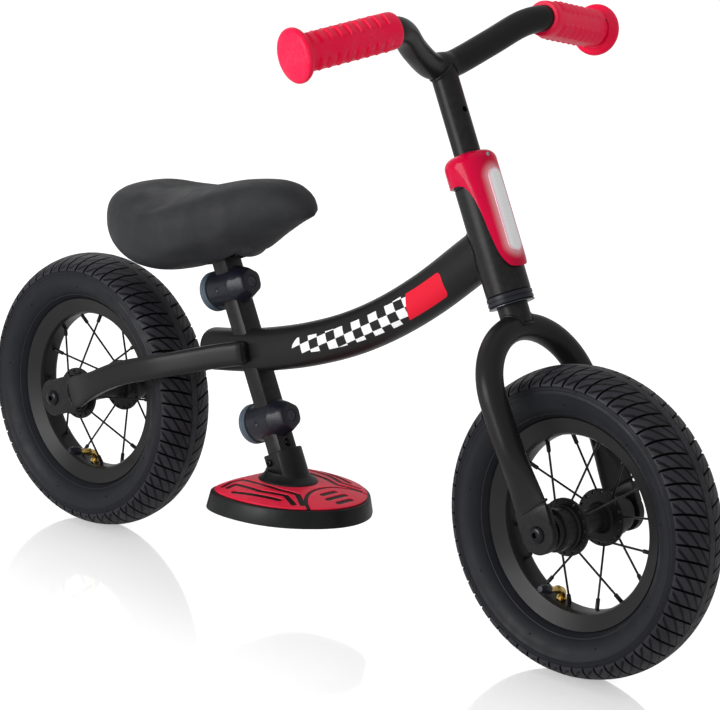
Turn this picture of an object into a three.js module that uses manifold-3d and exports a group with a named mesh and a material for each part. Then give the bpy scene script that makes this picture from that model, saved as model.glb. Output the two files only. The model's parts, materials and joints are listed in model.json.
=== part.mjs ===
// Child's balance bike with pneumatic wheels, adjustable saddle, handlebar and footrest.
// Millimetres. +X is forward, +Y is the rider's left, +Z is up.
// The origin lies on the ground, midway between the two axles.

import * as THREE from 'three';
import Module from 'manifold-3d';
import { mergeVertices } from 'three/addons/utils/BufferGeometryUtils.js';

const wasm = await Module();
wasm.setup();

const DEG = Math.PI / 180;

// ---------------------------------------------------------------------------
// Driving dimensions
// ---------------------------------------------------------------------------

const gap = 0.3;                  // clearance between pieces that seat on each other

const wheelbase = 575.6;
const wheelRadius = 127;
const headAngle = 64.6;           // steering axis, measured from the ground
const forkRake = 7.6;             // front axle ahead of the steering axis
const seatAngle = 64;             // seat tube, measured from the ground

// Wheels
const tyreHalfWidth = 28.5;
const tyreWidestRadius = 107;
const tyreWall = 4;
const treadEdgeRadius = 117;
const treadHalfWidth = 25.5;
const treadCrown = 13;            // half width at the shoulders of the flat crown
const treadCrownRadius = 124.2;
const treadDepth = 2.2;
const treadBlocks = 10;
const rimRadius = 86;             // edge of the rim lips
const rimHalfWidth = 15.2;
const rimLip = 2;                 // thickness of a rim lip
const rimBedRadius = 79;          // where the tyre beads sit
const rimBedTaper = 3.4;          // how much narrower the bed is than the opening between the lips
const rimInnerRadius = 71.5;
const rimInnerHalfWidth = 7;
const spokesPerWheel = 16;
const spokeRadius = 1.1;
const nippleRadius = 1.9;
const nippleLength = 9;
const nippleOffset = 1.5;         // nipples stand left and right of the rim's middle
const hubFlangeRadius = 23.5;
const frontFlangeOffset = 22.3;   // middle of a hub flange from the wheel's centre plane
const rearFlangeOffset = 27;
const hubFlangeThickness = 3;
const hubBarrelRadius = 9.5;
const hubBossRadius = 17.5;
const hubHalfLength = 47;
const bearingRadius = 13;
const bearingWidth = 8;
const axleRadius = 5.7;
const dropoutInner = 51;          // inner face of a fork end from the centre plane
const dropoutThickness = 7;
const dropoutRadius = 16.5;
const boltRadius = 4;
const boltHeadRadius = 7;
const boltHeadHeight = 3;
const valveRadius = 3.2;
const valveCapRadius = 4;
const frontSpokeTurn = 14;        // degrees, where the first left-hand spoke stands
const rearSpokeTurn = 24.5;
const valveTurn = 105;            // degrees below the horizontal, front wheel
const rearValveTurn = 94.5;

// Fork and steering, heights measured up the steering axis from the axle's foot on it
const forkTubeRadius = 11;
const forkHalfTrack = 57;         // middle of a fork leg from the centre plane
const forkShoulder = 107.5;       // where the legs run into the crown's half circle
const forkLegEnd = 20;            // where the flattened leg meets its end plate
const steererRadius = 12.7;
const steererTop = 307;
const lowerCupBottom = 184.3;
const headTubeBottom = 192.6;
const headTubeTop = 283.6;
const headTubeRadius = 18.6;
const headTubeBore = 15;
const cupFlange = 3.4;
const cupInsert = 12;
const clampBottom = 288;
const clampTop = 300;

// Head cover
const coverRadius = 21.8;
const coverWall = 2.8;
const coverTop = 310;
const coverShoulder = 9;
const coverSkirt = 286;
const coverTongueEnd = 210.3;
const coverScrewHeight = 304;
const coverScrewRadius = 1.8;
const panelLength = 70;
const panelWidth = 15;
const panelMiddle = 257.5;        // height of the panel's middle on the cover's tongue
const panelThickness = 0.8;

// Handlebar
const barRadius = 11.1;
const barWall = 1.6;
const stemBottom = 232;
const barJunction = 385.3;
const heightStep = 51.5;          // distance between the handlebar's height holes
const heightPin = 294;            // height of the pin that holds the handlebar
const pinRadius = 2.3;
const gripLength = 99;
const gripRadius = 15.3;
const gripRib = 1.3;
const gripRibs = 7;
const gripFlangeRadius = 22.3;
const gripFlangeWidth = 8;

// Frame tubes
const beamWidth = 31;
const beamHeight = 38;
const beamHeadHeight = 40;
const beamEndLength = 13;
const stayHeight = 21.5;
const stayWidth = 15;
const postDepth = 19;             // fore and aft
const postWidth = 22;
const postCorner = 4.5;
const tubeWall = 1.5;
const seatTubeX = -88.4;          // middle of the seat tube
const seatTubeZ = 195.7;
const clampSpacing = 61.2;        // clamp barrels above and below that middle
const seatTubeReach = 7;          // seat tube beyond each barrel's middle

// Clamp barrels
const barrelRadius = 16.8;
const barrelTilt = 5.5;           // degrees the barrels lie off square to the seat tube
const barrelRise = 1.6;
const barrelRear = 19;
const barrelFront = 14;
const bossWidth = 20;
const bossReach = 10;
const plugRadius = 4.4;
const knobRadius = 17.8;
const knobWidth = 8;
const knobStemRadius = 4;

// Saddle and footrest
const saddleStemLength = 78;
const saddleBoltHeight = clampSpacing + 28.8; // along the seat tube from its middle
const saddleBoltRadius = 3.4;
const footStemLength = 38;
const footHeadLength = 46;
const panThickness = 4;
const footHalfLength = 61.2;      // of the red pad, measured at its edge
const footHalfWidth = 62.5;
const footCentreX = -25.2;
const footBaseBottom = 68.5;
const footBaseTop = 84;
const footBaseRim = 3;            // base beyond the pad at its top
const footBaseFoot = [4.5, 7];    // and at its foot, lengthwise and sideways
const footPadEdge = 85.8;
const footPadCrown = 92.5;        // where the pad's slope meets the collar
const collarRadius = 24.5;        // across; its length is stretched
const collarStretch = 1.14;
const socketRadius = 17;
const socketTop = -clampSpacing - 27.2; // along the seat tube from its middle
const socketFlat = 12.5;          // half width of the squared rear of the socket
const socketRear = 12.3;
const socketBoltRadius = 3.2;
const socketBoltHeight = socketTop - 7.2;
const socketBoltX = -7;
const socketBoltShank = 1.6;
const socketBoltTip = 8;          // how near the screw's tip comes to the centre plane
const buttonRadius = 3.5;
const buttonHeight = socketTop + 5.8;
const slotWidth = 2.8;            // slots through the pads

// Facets round a piece
const wheelFacets = 32;
const largeFacets = 20;
const coverFacets = 24;
const smallFacets = 10;

// ---------------------------------------------------------------------------
// Materials
// ---------------------------------------------------------------------------

const finish = (color, roughness, metalness) =>
  new THREE.MeshStandardMaterial({ color, roughness, metalness });

const blackPaint = finish(0x1d1c1c, 0.35, 0.3);
const blackPlastic = finish(0x17181b, 0.45, 0);
const knobPlastic = finish(0x4a5260, 0.4, 0);
const redPlastic = finish(0xc8102e, 0.25, 0);
const redRubber = finish(0xd1133a, 0.6, 0);
const blackRubber = finish(0x1a1c22, 0.8, 0);
const saddleVinyl = finish(0x1c1c1d, 0.5, 0);
const silverPanel = finish(0xdfe5ee, 0.3, 0.2);
const brass = finish(0xc79a45, 0.3, 1);
const steel = finish(0x9a9ca0, 0.3, 1);
const darkSteel = finish(0x2a2a2c, 0.35, 0.9);

// ---------------------------------------------------------------------------
// Solid helpers
// ---------------------------------------------------------------------------

// Turns the faces of a closed geometry outward.
function outward(geometry) {
  const welded = geometry.clone();
  welded.deleteAttribute('normal');
  welded.deleteAttribute('uv');
  const merged = mergeVertices(welded, 1e-4);
  const p = merged.attributes.position;
  const index = Array.from(merged.index.array);
  const [a, b, c] = [new THREE.Vector3(), new THREE.Vector3(), new THREE.Vector3()];
  const kept = [];
  let volume = 0;
  for (let i = 0; i < index.length; i += 3) {
    const [i0, i1, i2] = index.slice(i, i + 3);
    if (i0 === i1 || i1 === i2 || i2 === i0) continue;
    kept.push(i0, i1, i2);
    a.fromBufferAttribute(p, i0);
    b.fromBufferAttribute(p, i1);
    c.fromBufferAttribute(p, i2);
    volume += a.dot(b.cross(c));
  }
  if (volume < 0) kept.reverse();
  merged.setIndex(kept);
  return merged;
}

// Geometry to Manifold solid.
function solid(geometry) {
  const closed = outward(geometry);
  return new wasm.Manifold(new wasm.Mesh({
    numProp: 3,
    vertProperties: new Float32Array(closed.attributes.position.array),
    triVerts: new Uint32Array(closed.index.array),
  }));
}

// Manifold solid back to geometry.
function geometryOf(body) {
  const mesh = body.getMesh();
  const geometry = new THREE.BufferGeometry();
  geometry.setAttribute('position', new THREE.BufferAttribute(mesh.vertProperties, 3));
  geometry.setIndex(new THREE.BufferAttribute(mesh.triVerts, 1));
  return geometry;
}

const join = (first, ...others) => others.reduce((sum, next) => sum.add(next), first);
const cut = (first, ...others) => others.reduce((rest, next) => rest.subtract(next), first);

// Ring or disc about local Z from [radius, height] points that close on themselves.
function revolve(points, segments) {
  const ring = [...points, points[0]].map(([r, h]) => new THREE.Vector2(r, h));
  return new THREE.LatheGeometry(ring, segments).rotateX(90 * DEG);
}

// The same about the Y axis, for pieces that turn with an axle.
function revolveY(points, segments) {
  const ring = [...points, points[0]].map(([r, h]) => new THREE.Vector2(r, h));
  return new THREE.LatheGeometry(ring, segments);
}

// Plain rod along Z from one height to another.
function rod(radius, from, to, segments, topRadius = radius) {
  const length = to - from;
  return new THREE.CylinderGeometry(topRadius, radius, length, segments)
    .rotateX(90 * DEG).translate(0, 0, from + length / 2);
}

// Rods along X and along Y.
const rodX = (radius, from, to, segments) => rod(radius, from, to, segments).rotateY(90 * DEG);
const rodY = (radius, from, to, segments) => rod(radius, from, to, segments).rotateX(-90 * DEG);

// Tube wall between two radii, along Z.
function tube(outer, inner, from, to, segments) {
  return revolve([[inner, from], [outer, from], [outer, to], [inner, to]], segments);
}

function roundedRect(width, depth, corner) {
  const [x, y] = [width / 2, depth / 2];
  const shape = new THREE.Shape();
  shape.moveTo(-x + corner, -y);
  shape.lineTo(x - corner, -y);
  shape.absarc(x - corner, -y + corner, corner, -90 * DEG, 0);
  shape.lineTo(x, y - corner);
  shape.absarc(x - corner, y - corner, corner, 0, 90 * DEG);
  shape.lineTo(-x + corner, y);
  shape.absarc(-x + corner, y - corner, corner, 90 * DEG, 180 * DEG);
  shape.lineTo(-x, -y + corner);
  shape.absarc(-x + corner, -y + corner, corner, 180 * DEG, 270 * DEG);
  return shape;
}

// Straight extrusion of a shape along Z.
function prism(shape, from, to, curveSegments = 3) {
  return new THREE.ExtrudeGeometry(shape, { depth: to - from, bevelEnabled: false, curveSegments })
    .translate(0, 0, from);
}

// Extrudes a section in many steps, then moves each step's points with place(t, x, y).
function loft(section, steps, place, curveSegments = 3) {
  const geometry = new THREE.ExtrudeGeometry(section, {
    depth: 1, steps, bevelEnabled: false, curveSegments,
  });
  const p = geometry.attributes.position;
  for (let i = 0; i < p.count; i++) {
    const q = place(p.getZ(i), p.getX(i), p.getY(i));
    p.setXYZ(i, q.x, q.y, q.z);
  }
  return geometry;
}

// Loft along a curve: side and up set the section's directions, size its two scales.
function sweep(section, curve, steps, side, size, curveSegments) {
  return loft(section, steps, (t, x, y) => {
    const tangent = curve.getTangentAt(t);
    const across = side(t).clone().addScaledVector(tangent, -side(t).dot(tangent)).normalize();
    const up = new THREE.Vector3().crossVectors(tangent, across);
    const [width, height] = size(t);
    return curve.getPointAt(t)
      .addScaledVector(across, x * width)
      .addScaledVector(up, y * height);
  }, curveSegments);
}

const circle = (radius = 1) => new THREE.Shape().absarc(0, 0, radius, 0, 2 * Math.PI);
const vec = (x, y, z) => new THREE.Vector3(x, y, z);
const mix = THREE.MathUtils.lerp;
const smooth = THREE.MathUtils.smoothstep;

// ---------------------------------------------------------------------------
// Scene graph
// ---------------------------------------------------------------------------

const bike = new THREE.Group();

// Everything on the steering axis: local Z runs up it, local X points forward.
const steering = new THREE.Group();
const headLean = (90 - headAngle) * DEG;
steering.position.set(
  wheelbase / 2 - forkRake * Math.cos(headLean), 0, wheelRadius - forkRake * Math.sin(headLean));
steering.rotation.y = -headLean;

// Everything on the seat tube's axis.
const seatAxis = new THREE.Group();
seatAxis.position.set(seatTubeX, 0, seatTubeZ);
seatAxis.rotation.y = -(90 - seatAngle) * DEG;

const frontWheel = new THREE.Group();
frontWheel.position.set(wheelbase / 2, 0, wheelRadius);
const rearWheel = new THREE.Group();
rearWheel.position.set(-wheelbase / 2, 0, wheelRadius);
bike.add(steering, seatAxis, frontWheel, rearWheel);
bike.updateMatrixWorld(true);

function addPart(parent, name, shape, material) {
  const geometry = shape instanceof THREE.BufferGeometry ? outward(shape) : geometryOf(shape);
  const mesh = new THREE.Mesh(geometry, material);
  mesh.name = name;
  parent.add(mesh);
  return mesh;
}

// ---------------------------------------------------------------------------
// Wheels
// ---------------------------------------------------------------------------

function tyre() {
  const bead = rimHalfWidth - rimLip - gap;
  const middle = 1.2;
  const half = [
    [rimBedRadius + gap, bead - rimBedTaper - tyreWall], [rimBedRadius + gap, bead - rimBedTaper],
    [rimRadius + gap, bead],
    [mix(rimRadius, tyreWidestRadius, 0.48), tyreHalfWidth - 3], [tyreWidestRadius, tyreHalfWidth],
    [treadEdgeRadius, treadHalfWidth], [treadCrownRadius, treadCrown],
    [wheelRadius, middle], [wheelRadius - treadDepth, middle],
  ];
  const inner = [[wheelRadius - 1.5 * tyreWall, treadCrown - 5],
    [tyreWidestRadius, tyreHalfWidth - tyreWall], [rimRadius, bead - tyreWall + 1]];
  const mirrored = (points) => points.map(([r, h]) => [r, -h]).reverse();
  const profile = [...half, ...mirrored(half), ...mirrored(inner), ...inner];
  return cut(solid(revolveY(profile, wheelFacets)), ...treadGrooves());
}

// Slanted grooves that part the tread blocks, staggered from side to side.
function treadGrooves() {
  const grooves = [];
  for (let i = 0; i < treadBlocks; i++) {
    for (const side of [-1, 1]) {
      const groove = new THREE.BoxGeometry(2.4, 17, 2 * treadDepth)
        .rotateZ(side * 32 * DEG)
        .rotateX(-side * 31 * DEG)
        .translate(0, side * (treadHalfWidth - 5.3), wheelRadius - 5.4)
        .rotateY((i + side / 4) * 360 / treadBlocks * DEG);
      grooves.push(solid(groove));
    }
  }
  return grooves;
}

function innerTube() {
  const [low, high] = [rimRadius - 2, wheelRadius - 9];
  const [narrow, wide] = [rimInnerHalfWidth, tyreHalfWidth - 7.5];
  const middle = tyreWidestRadius - 1;
  return revolveY([[low, narrow], [low, -narrow], [middle, -wide], [high, -narrow - 1],
    [high, narrow + 1], [middle, wide]], largeFacets);
}

// Deep rim: conical side faces, tyre bed between two lips.
function rim(valveAngle) {
  const lipInner = rimHalfWidth - rimLip;
  const half = [
    [rimInnerRadius, rimInnerHalfWidth], [rimRadius, rimHalfWidth],
    [rimRadius, lipInner], [rimBedRadius, lipInner - rimBedTaper],
  ];
  const profile = [...half, ...half.map(([r, h]) => [r, -h]).reverse()];
  const valveHole = rod(valveRadius + 3 * gap, rimInnerRadius - 5, rimRadius, 6)
    .rotateY(90 * DEG + valveAngle);
  return cut(solid(revolveY(profile, wheelFacets)), solid(valveHole));
}

// Hub shell with two flanges, and straight spokes laid radially to alternate flanges.
function hubWithSpokes(turn, flangeOffset) {
  const flange = [flangeOffset - hubFlangeThickness / 2, flangeOffset + hubFlangeThickness / 2];
  const seat = hubHalfLength - bearingWidth - gap;
  const half = [
    [axleRadius + 1.3, seat], [bearingRadius + gap, seat], [bearingRadius + gap, hubHalfLength],
    [bearingRadius + 2, hubHalfLength], [bearingRadius + 2, hubHalfLength - 7],
    [hubBossRadius, hubHalfLength - 7], [hubBossRadius, flange[1]],
    [hubFlangeRadius, flange[1]], [hubFlangeRadius, flange[0]],
    [hubBarrelRadius + 2, flange[0]], [hubBarrelRadius, flange[0] - 6],
  ];
  const shell = solid(revolveY([...half, ...half.map(([r, h]) => [r, -h]).reverse()], 12));
  return join(shell, ...spokes(turn, flangeOffset));
}

function spokes(turn, flangeOffset) {
  const start = new THREE.Vector2(hubFlangeRadius - 4, flangeOffset);
  const rimFace = rimInnerRadius * Math.cos(Math.PI / wheelFacets) - gap;
  const lean = Math.atan2(start.y - nippleOffset, rimFace - start.x);
  const end = new THREE.Vector2(rimFace - nippleRadius * Math.sin(lean), nippleOffset);
  const length = start.distanceTo(end);
  const pieces = [];
  for (let i = 0; i < spokesPerWheel; i++) {
    const side = i % 2 ? -1 : 1;
    const stretch = rod(spokeRadius, 0, length - nippleLength + 1, 4);
    const nipple = rod(nippleRadius, length - nippleLength, length, 4);
    for (const piece of [stretch, nipple]) {
      piece.rotateX(side * lean).translate(0, side * start.y, start.x);
      piece.rotateY(90 * DEG - (turn + i * 360 / spokesPerWheel) * DEG);
      pieces.push(solid(piece));
    }
  }
  return pieces;
}

// Bent valve: out of the rim towards the axle, then sideways to the right.
const valveElbow = [vec(0, 0, rimBedRadius - 4), vec(0, 0, 66), vec(0, -5, 61.5), vec(0, -21, 57.5)];

function valveStem() {
  const path = new THREE.CatmullRomCurve3(valveElbow);
  return sweep(circle(valveRadius), path, 6, () => vec(1, 0, 0), () => [1, 1], 4);
}

function valveCap() {
  const [from, to] = valveElbow.slice(-2);
  const lean = Math.atan2(from.z - to.z, from.y - to.y);
  const profile = [[0, gap], [valveCapRadius, gap], [valveCapRadius, 10], [2.6, 13], [0, 13]];
  return revolve(profile, 10).rotateX(90 * DEG + lean).translate(0, to.y, to.z);
}

function bearing(side) {
  const inner = hubHalfLength - bearingWidth;
  return revolveY([[axleRadius + gap, side * inner], [bearingRadius, side * inner],
    [bearingRadius, side * hubHalfLength], [axleRadius + gap, side * hubHalfLength]], 12);
}

function addWheel(parent, name, spokeTurn, flangeOffset, valveAngle) {
  const towardsValve = 90 * DEG + valveAngle;
  addPart(parent, `${name}_tyre`, tyre(), blackRubber);
  addPart(parent, `${name}_inner_tube`, innerTube(), blackRubber);
  addPart(parent, `${name}_rim`, rim(valveAngle), blackPaint);
  addPart(parent, `${name}_hub_and_spokes`, hubWithSpokes(spokeTurn, flangeOffset), blackPaint);
  addPart(parent, `${name}_valve`, valveStem().rotateY(towardsValve), brass);
  addPart(parent, `${name}_valve_cap`, valveCap().rotateY(towardsValve), blackPlastic);
  addPart(parent, `${name}_bearing_left`, bearing(1), steel);
  addPart(parent, `${name}_bearing_right`, bearing(-1), steel);
}

addWheel(frontWheel, 'front', frontSpokeTurn, frontFlangeOffset, valveTurn * DEG);
addWheel(rearWheel, 'rear', rearSpokeTurn, rearFlangeOffset, rearValveTurn * DEG);

// Fixed axle with a shoulder that meets each dropout, drilled for the bolts.
function axle() {
  const end = dropoutInner - gap;
  const shoulder = hubHalfLength + 1;
  const depth = end - 14;
  const half = [[axleRadius, shoulder], [9, shoulder], [9, end], [boltRadius + gap, end],
    [boltRadius + gap, depth], [0, depth]];
  const mirrored = half.map(([r, h]) => [r, -h]).reverse();
  return new THREE.LatheGeometry([...mirrored, ...half].map(([r, h]) => new THREE.Vector2(r, h)),
    smallFacets);
}

// Button-head bolt through one dropout into the axle; side +1 is left.
function axleBolt(side) {
  const face = dropoutInner + dropoutThickness + gap;
  const shank = rodY(boltRadius, dropoutInner - 12, face + 0.5, 8);
  const head = rod(boltHeadRadius, face, face + boltHeadHeight, 12, boltHeadRadius - 1.5)
    .rotateX(-90 * DEG);
  const socket = rodY(2.9, face + 1, face + 5, 6);
  const bolt = cut(join(solid(shank), solid(head)), solid(socket));
  return side > 0 ? bolt : bolt.mirror([0, 1, 0]);
}

for (const [parent, name] of [[frontWheel, 'front'], [rearWheel, 'rear']]) {
  addPart(parent, `${name}_axle`, axle(), steel);
  addPart(parent, `${name}_axle_bolt_left`, axleBolt(1), darkSteel);
  addPart(parent, `${name}_axle_bolt_right`, axleBolt(-1), darkSteel);
}

// ---------------------------------------------------------------------------
// Frame
// ---------------------------------------------------------------------------

// Points given on the bike's centre plane, as [x, z].
const curveXZ = (points) => new THREE.CatmullRomCurve3(points.map(([x, z]) => vec(x, 0, z)));

// Solid in a group's local frame, moved to the bike's frame.
function inBikeFrame(group, geometry) {
  return solid(geometry.applyMatrix4(group.matrixWorld));
}

// The beam's line from behind the seat tube up to the head tube, each point as shares of the
// way from the seat tube's middle to the head tube's, forward and up.
const headMiddle = vec(0, 0, (headTubeBottom + headTubeTop) / 2).applyMatrix4(steering.matrixWorld);
const beamLine = [[-0.178, -0.022], [-0.043, 0.015], [0.097, 0.07], [0.254, 0.15], [0.429, 0.269],
  [0.597, 0.426], [0.759, 0.62], [0.922, 0.855], [0.997, 0.97]];
const beamPath = curveXZ(beamLine.map(([along, up]) =>
  [mix(seatTubeX, headMiddle.x, along), mix(seatTubeZ, headMiddle.z, up)]));

// Curved oval main tube with a rounded closed rear end, notched for the tubes it meets.
function mainBeam() {
  const section = roundedRect(2, 2, 0.85);
  const tubeSize = (t) => [beamWidth / 2, mix(beamHeight, beamHeadHeight, t * t) / 2];
  const body = sweep(section, beamPath, 14, () => vec(0, 1, 0), tubeSize, 2);
  const slope = beamPath.getTangentAt(0);
  const rearEnd = new THREE.SphereGeometry(1, 14, 10)
    .scale(beamEndLength, beamWidth / 2, beamHeight / 2)
    .rotateY(-Math.atan2(slope.z, slope.x))
    .translate(...beamPath.getPointAt(0).toArray());
  const seatHole = prism(roundedRect(postDepth + 2 * gap, postWidth + 2 * gap, postCorner), -60, 60);
  const headHole = rod(headTubeRadius + gap, headTubeBottom - 30, headTubeTop + 30, largeFacets);
  const ahead = new THREE.BoxGeometry(60, 80, 200).translate(30, 0, headTubeBottom + 60);
  return cut(join(solid(body), solid(rearEnd)), inBikeFrame(seatAxis, seatHole),
    inBikeFrame(steering, headHole), inBikeFrame(steering, ahead));
}

// A stay's line: shares of the way back from the seat tube's middle to the axle, outward from
// the beam's side to the dropout, and down.
const stayInner = beamWidth / 2 + stayWidth / 2 + gap;
const stayLine = [[-0.042, 0.006, -0.084], [0.078, 0.18, 0.003], [0.209, 0.565, 0.119],
  [0.349, 0.903, 0.243], [0.56, 1.064, 0.432], [0.76, 1.064, 0.705], [0.881, 1, 0.872], [1, 1, 1]];

// Rear stay: rounded bar welded flat on the beam's side, bowed out round the tyre,
// flattened into a round-ended dropout; side +1 is left.
function rearStay(side) {
  const axleX = -wheelbase / 2;
  const dropoutMiddle = dropoutInner + dropoutThickness / 2;
  const path = new THREE.CatmullRomCurve3(stayLine.map(([back, out, down]) => vec(
    mix(seatTubeX, axleX, back), side * mix(stayInner, dropoutMiddle, out),
    mix(seatTubeZ, wheelRadius, down))));
  const size = (t) => {
    const flat = smooth(t, 0.72, 0.92);
    const width = mix(stayWidth, dropoutThickness, flat);
    const height = mix(stayHeight, 2 * dropoutRadius, smooth(t, 0.7, 0.97));
    const roundFront = t < 0.04 ? mix(0.62, 1, Math.sqrt(t / 0.04)) : 1;
    return [width / 2, (height / 2) * roundFront];
  };
  const arm = sweep(roundedRect(2, 2, 0.6), path, 12, () => vec(0, 1, 0), size, 1);
  const lugFace = side * (dropoutMiddle - dropoutThickness / 2);
  const outerFace = side * (dropoutMiddle + dropoutThickness / 2);
  const [from, to] = [Math.min(lugFace, outerFace), Math.max(lugFace, outerFace)];
  const lug = rodY(dropoutRadius, from, to, largeFacets).translate(axleX, 0, wheelRadius);
  const boltHole = rodY(boltRadius + gap, from - 5, to + 5, 12).translate(axleX, 0, wheelRadius);
  const beam = beamPath.getSpacedPoints(1);
  const beamFace = side * (beamWidth / 2 + gap - 40);
  const beamSide = new THREE.BoxGeometry(130, 80, 120)
    .translate(beam[0].x + 30, beamFace, beam[0].z);
  return cut(join(solid(arm), solid(lug)), solid(boltHole), solid(beamSide));
}

function headTube() {
  return tube(headTubeRadius, headTubeBore, headTubeBottom, headTubeTop, largeFacets);
}

// Headset cup: flange outside the head tube, sleeve pressed into it; end +1 is the top.
function headsetCup(end) {
  const face = end > 0 ? headTubeTop : headTubeBottom;
  const flange = end > 0 ? cupFlange : headTubeBottom - lowerCupBottom - gap;
  const near = face + end * gap;
  return revolve([
    [steererRadius + gap, face - end * cupInsert], [headTubeBore - gap, face - end * cupInsert],
    [headTubeBore - gap, near], [headTubeRadius, near], [headTubeRadius, near + end * flange],
    [steererRadius + gap, near + end * flange],
  ], largeFacets);
}

// Thin crown race that turns with the fork under the lower cup.
function crownRace() {
  const top = lowerCupBottom - gap;
  return tube(headTubeRadius + 0.6, steererRadius + gap, top - 1, top, largeFacets);
}

function seatTube() {
  const end = clampSpacing + seatTubeReach;
  const outer = prism(roundedRect(postDepth, postWidth, postCorner), -end, end);
  const bore = prism(roundedRect(postDepth - 2 * tubeWall, postWidth - 2 * tubeWall,
    postCorner - tubeWall), -end - 1, end + 1);
  const pinHoles = [-1, 1].map((level) => solid(inBarrel(
    rodX(knobStemRadius + gap, -postDepth, 0, smallFacets)).translate(0, 0, level * clampSpacing)));
  return cut(solid(outer), solid(bore), ...pinHoles);
}

// The barrels lie a little off square to the tube, about their own middle.
function inBarrel(geometry) {
  return geometry.rotateY(barrelTilt * DEG).translate(0, 0, barrelRise);
}

// Round clamp barrel across a seat tube end: rounded front with a six-sided boss.
function clampBarrel() {
  const edge = 5;
  const barrel = revolve([[0, -barrelRear], [barrelRadius, -barrelRear],
    [barrelRadius, barrelFront - edge], [barrelRadius - edge * 0.3, barrelFront - edge * 0.3],
    [barrelRadius - edge, barrelFront], [0, barrelFront]], largeFacets).rotateY(90 * DEG);
  const boss = new THREE.CylinderGeometry(bossWidth * 0.5, bossWidth * 0.62, bossReach + 6, 6)
    .rotateZ(-90 * DEG).translate(barrelFront + bossReach / 2 - 3, 0, 0);
  const bossFace = barrelFront + bossReach;
  const recess = rodX(plugRadius + gap, bossFace - 4, bossFace + 1, smallFacets);
  const tubeHole = prism(roundedRect(postDepth + 2 * gap, postWidth + 2 * gap, postCorner), -40, 40);
  const stemHole = rodX(knobStemRadius + gap, -barrelRear - 1, 0, smallFacets);
  const [body, front, hollow, screw] = [barrel, boss, recess, stemHole].map((shape) =>
    solid(inBarrel(shape)));
  return cut(join(body, front), hollow, solid(tubeHole), screw);
}

function clampPlug() {
  const seat = barrelFront + bossReach - 4 + gap;
  return inBarrel(rodX(plugRadius, seat, seat + 3, smallFacets));
}

// Clamp knob: round cap behind the barrel, screw that ends just short of the post.
function clampKnob() {
  const face = -barrelRear - gap;
  const tip = -(postDepth / 2 - 0.5);
  const back = face - knobWidth;
  return inBarrel(revolve([[0, tip], [knobStemRadius, tip], [knobStemRadius, face],
    [knobRadius, face], [knobRadius, back + 3], [knobRadius - 3, back], [0, back]],
    largeFacets).rotateY(90 * DEG));
}

addPart(bike, 'main_beam', mainBeam(), blackPaint);
addPart(bike, 'left_rear_stay', rearStay(1), blackPaint);
addPart(bike, 'right_rear_stay', rearStay(-1), blackPaint);
addPart(steering, 'head_tube', headTube(), blackPaint);
addPart(steering, 'lower_headset_cup', headsetCup(-1), blackPlastic);
addPart(steering, 'upper_headset_cup', headsetCup(1), blackPlastic);
addPart(seatAxis, 'seat_tube', seatTube(), blackPaint);

for (const [name, level] of [['saddle', 1], ['footrest', -1]]) {
  for (const [piece, shape, material] of [
    ['clamp_barrel', clampBarrel(), blackPlastic],
    ['clamp_plug', clampPlug(), knobPlastic],
    ['clamp_knob', clampKnob(), knobPlastic],
  ]) {
    addPart(seatAxis, `${name}_${piece}`, shape, material).position.z = level * clampSpacing;
  }
}

// ---------------------------------------------------------------------------
// Fork, stem clamp and head cover
// ---------------------------------------------------------------------------

// Inverted U of round tube, its legs flattened into round-ended dropouts, under a hollow steerer.
function fork() {
  const arc = Math.PI * forkHalfTrack;
  const leg = forkShoulder - forkLegEnd;
  const total = arc + 2 * leg;
  const crown = forkShoulder + forkHalfTrack;
  const endMiddle = dropoutInner + dropoutThickness / 2;
  const centre = (distance) => {
    const along = Math.min(distance, total - distance);
    const side = distance < total / 2 ? -1 : 1;
    const turn = Math.max(0, along - leg) / forkHalfTrack;
    const height = along < leg ? forkLegEnd + along : forkShoulder + forkHalfTrack * Math.sin(turn);
    const track = mix(endMiddle, forkHalfTrack, smooth(along, 0, leg * 0.7));
    const y = along < leg ? track : forkHalfTrack * Math.cos(turn);
    return vec(forkRake * (1 - height / crown), side * y, height);
  };
  const arch = loft(circle(), 24, (t, x, y) => {
    const distance = t * total;
    const flat = 1 - smooth(Math.min(distance, total - distance), 0, leg * 0.8);
    const step = 0.5;
    const ahead = centre(Math.min(distance + step, total));
    const tangent = ahead.sub(centre(Math.max(distance - step, 0))).normalize();
    const forward = vec(1, 0, 0);
    const across = new THREE.Vector3().crossVectors(tangent, forward);
    return centre(distance)
      .addScaledVector(forward, x * mix(forkTubeRadius, dropoutRadius, flat))
      .addScaledVector(across, y * mix(forkTubeRadius, dropoutThickness / 2, flat));
  }, 5);
  const steerer = rod(steererRadius, crown, steererTop, largeFacets);
  const bore = rod(barRadius + gap, crown + forkTubeRadius, steererTop + 1, largeFacets);
  const boltHoles = [-1, 1].map((side) =>
    solid(rodY(boltRadius + gap, side * 60 - 20, side * 60 + 20, 12).translate(forkRake, 0, 0)));
  return cut(join(solid(arch), solid(steerer), dropout(-1), dropout(1)), solid(bore),
    solid(pinHole()), ...boltHoles);
}

// End plate of a fork leg: flat, straight-sided, round at the bottom.
function dropout(side) {
  const from = side > 0 ? dropoutInner : -dropoutInner - dropoutThickness;
  const plate = new THREE.BoxGeometry(2 * dropoutRadius, dropoutThickness, forkLegEnd + 1)
    .translate(forkRake, from + dropoutThickness / 2, (forkLegEnd + 1) / 2);
  const end = rodY(dropoutRadius, from, from + dropoutThickness, largeFacets).translate(forkRake, 0, 0);
  return join(solid(plate), solid(end));
}

// Hole for the height pin, through the front of what it is cut from.
function pinHole() {
  return rodX(pinRadius + gap, 3, 30, smallFacets).translate(0, 0, heightPin);
}

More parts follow.
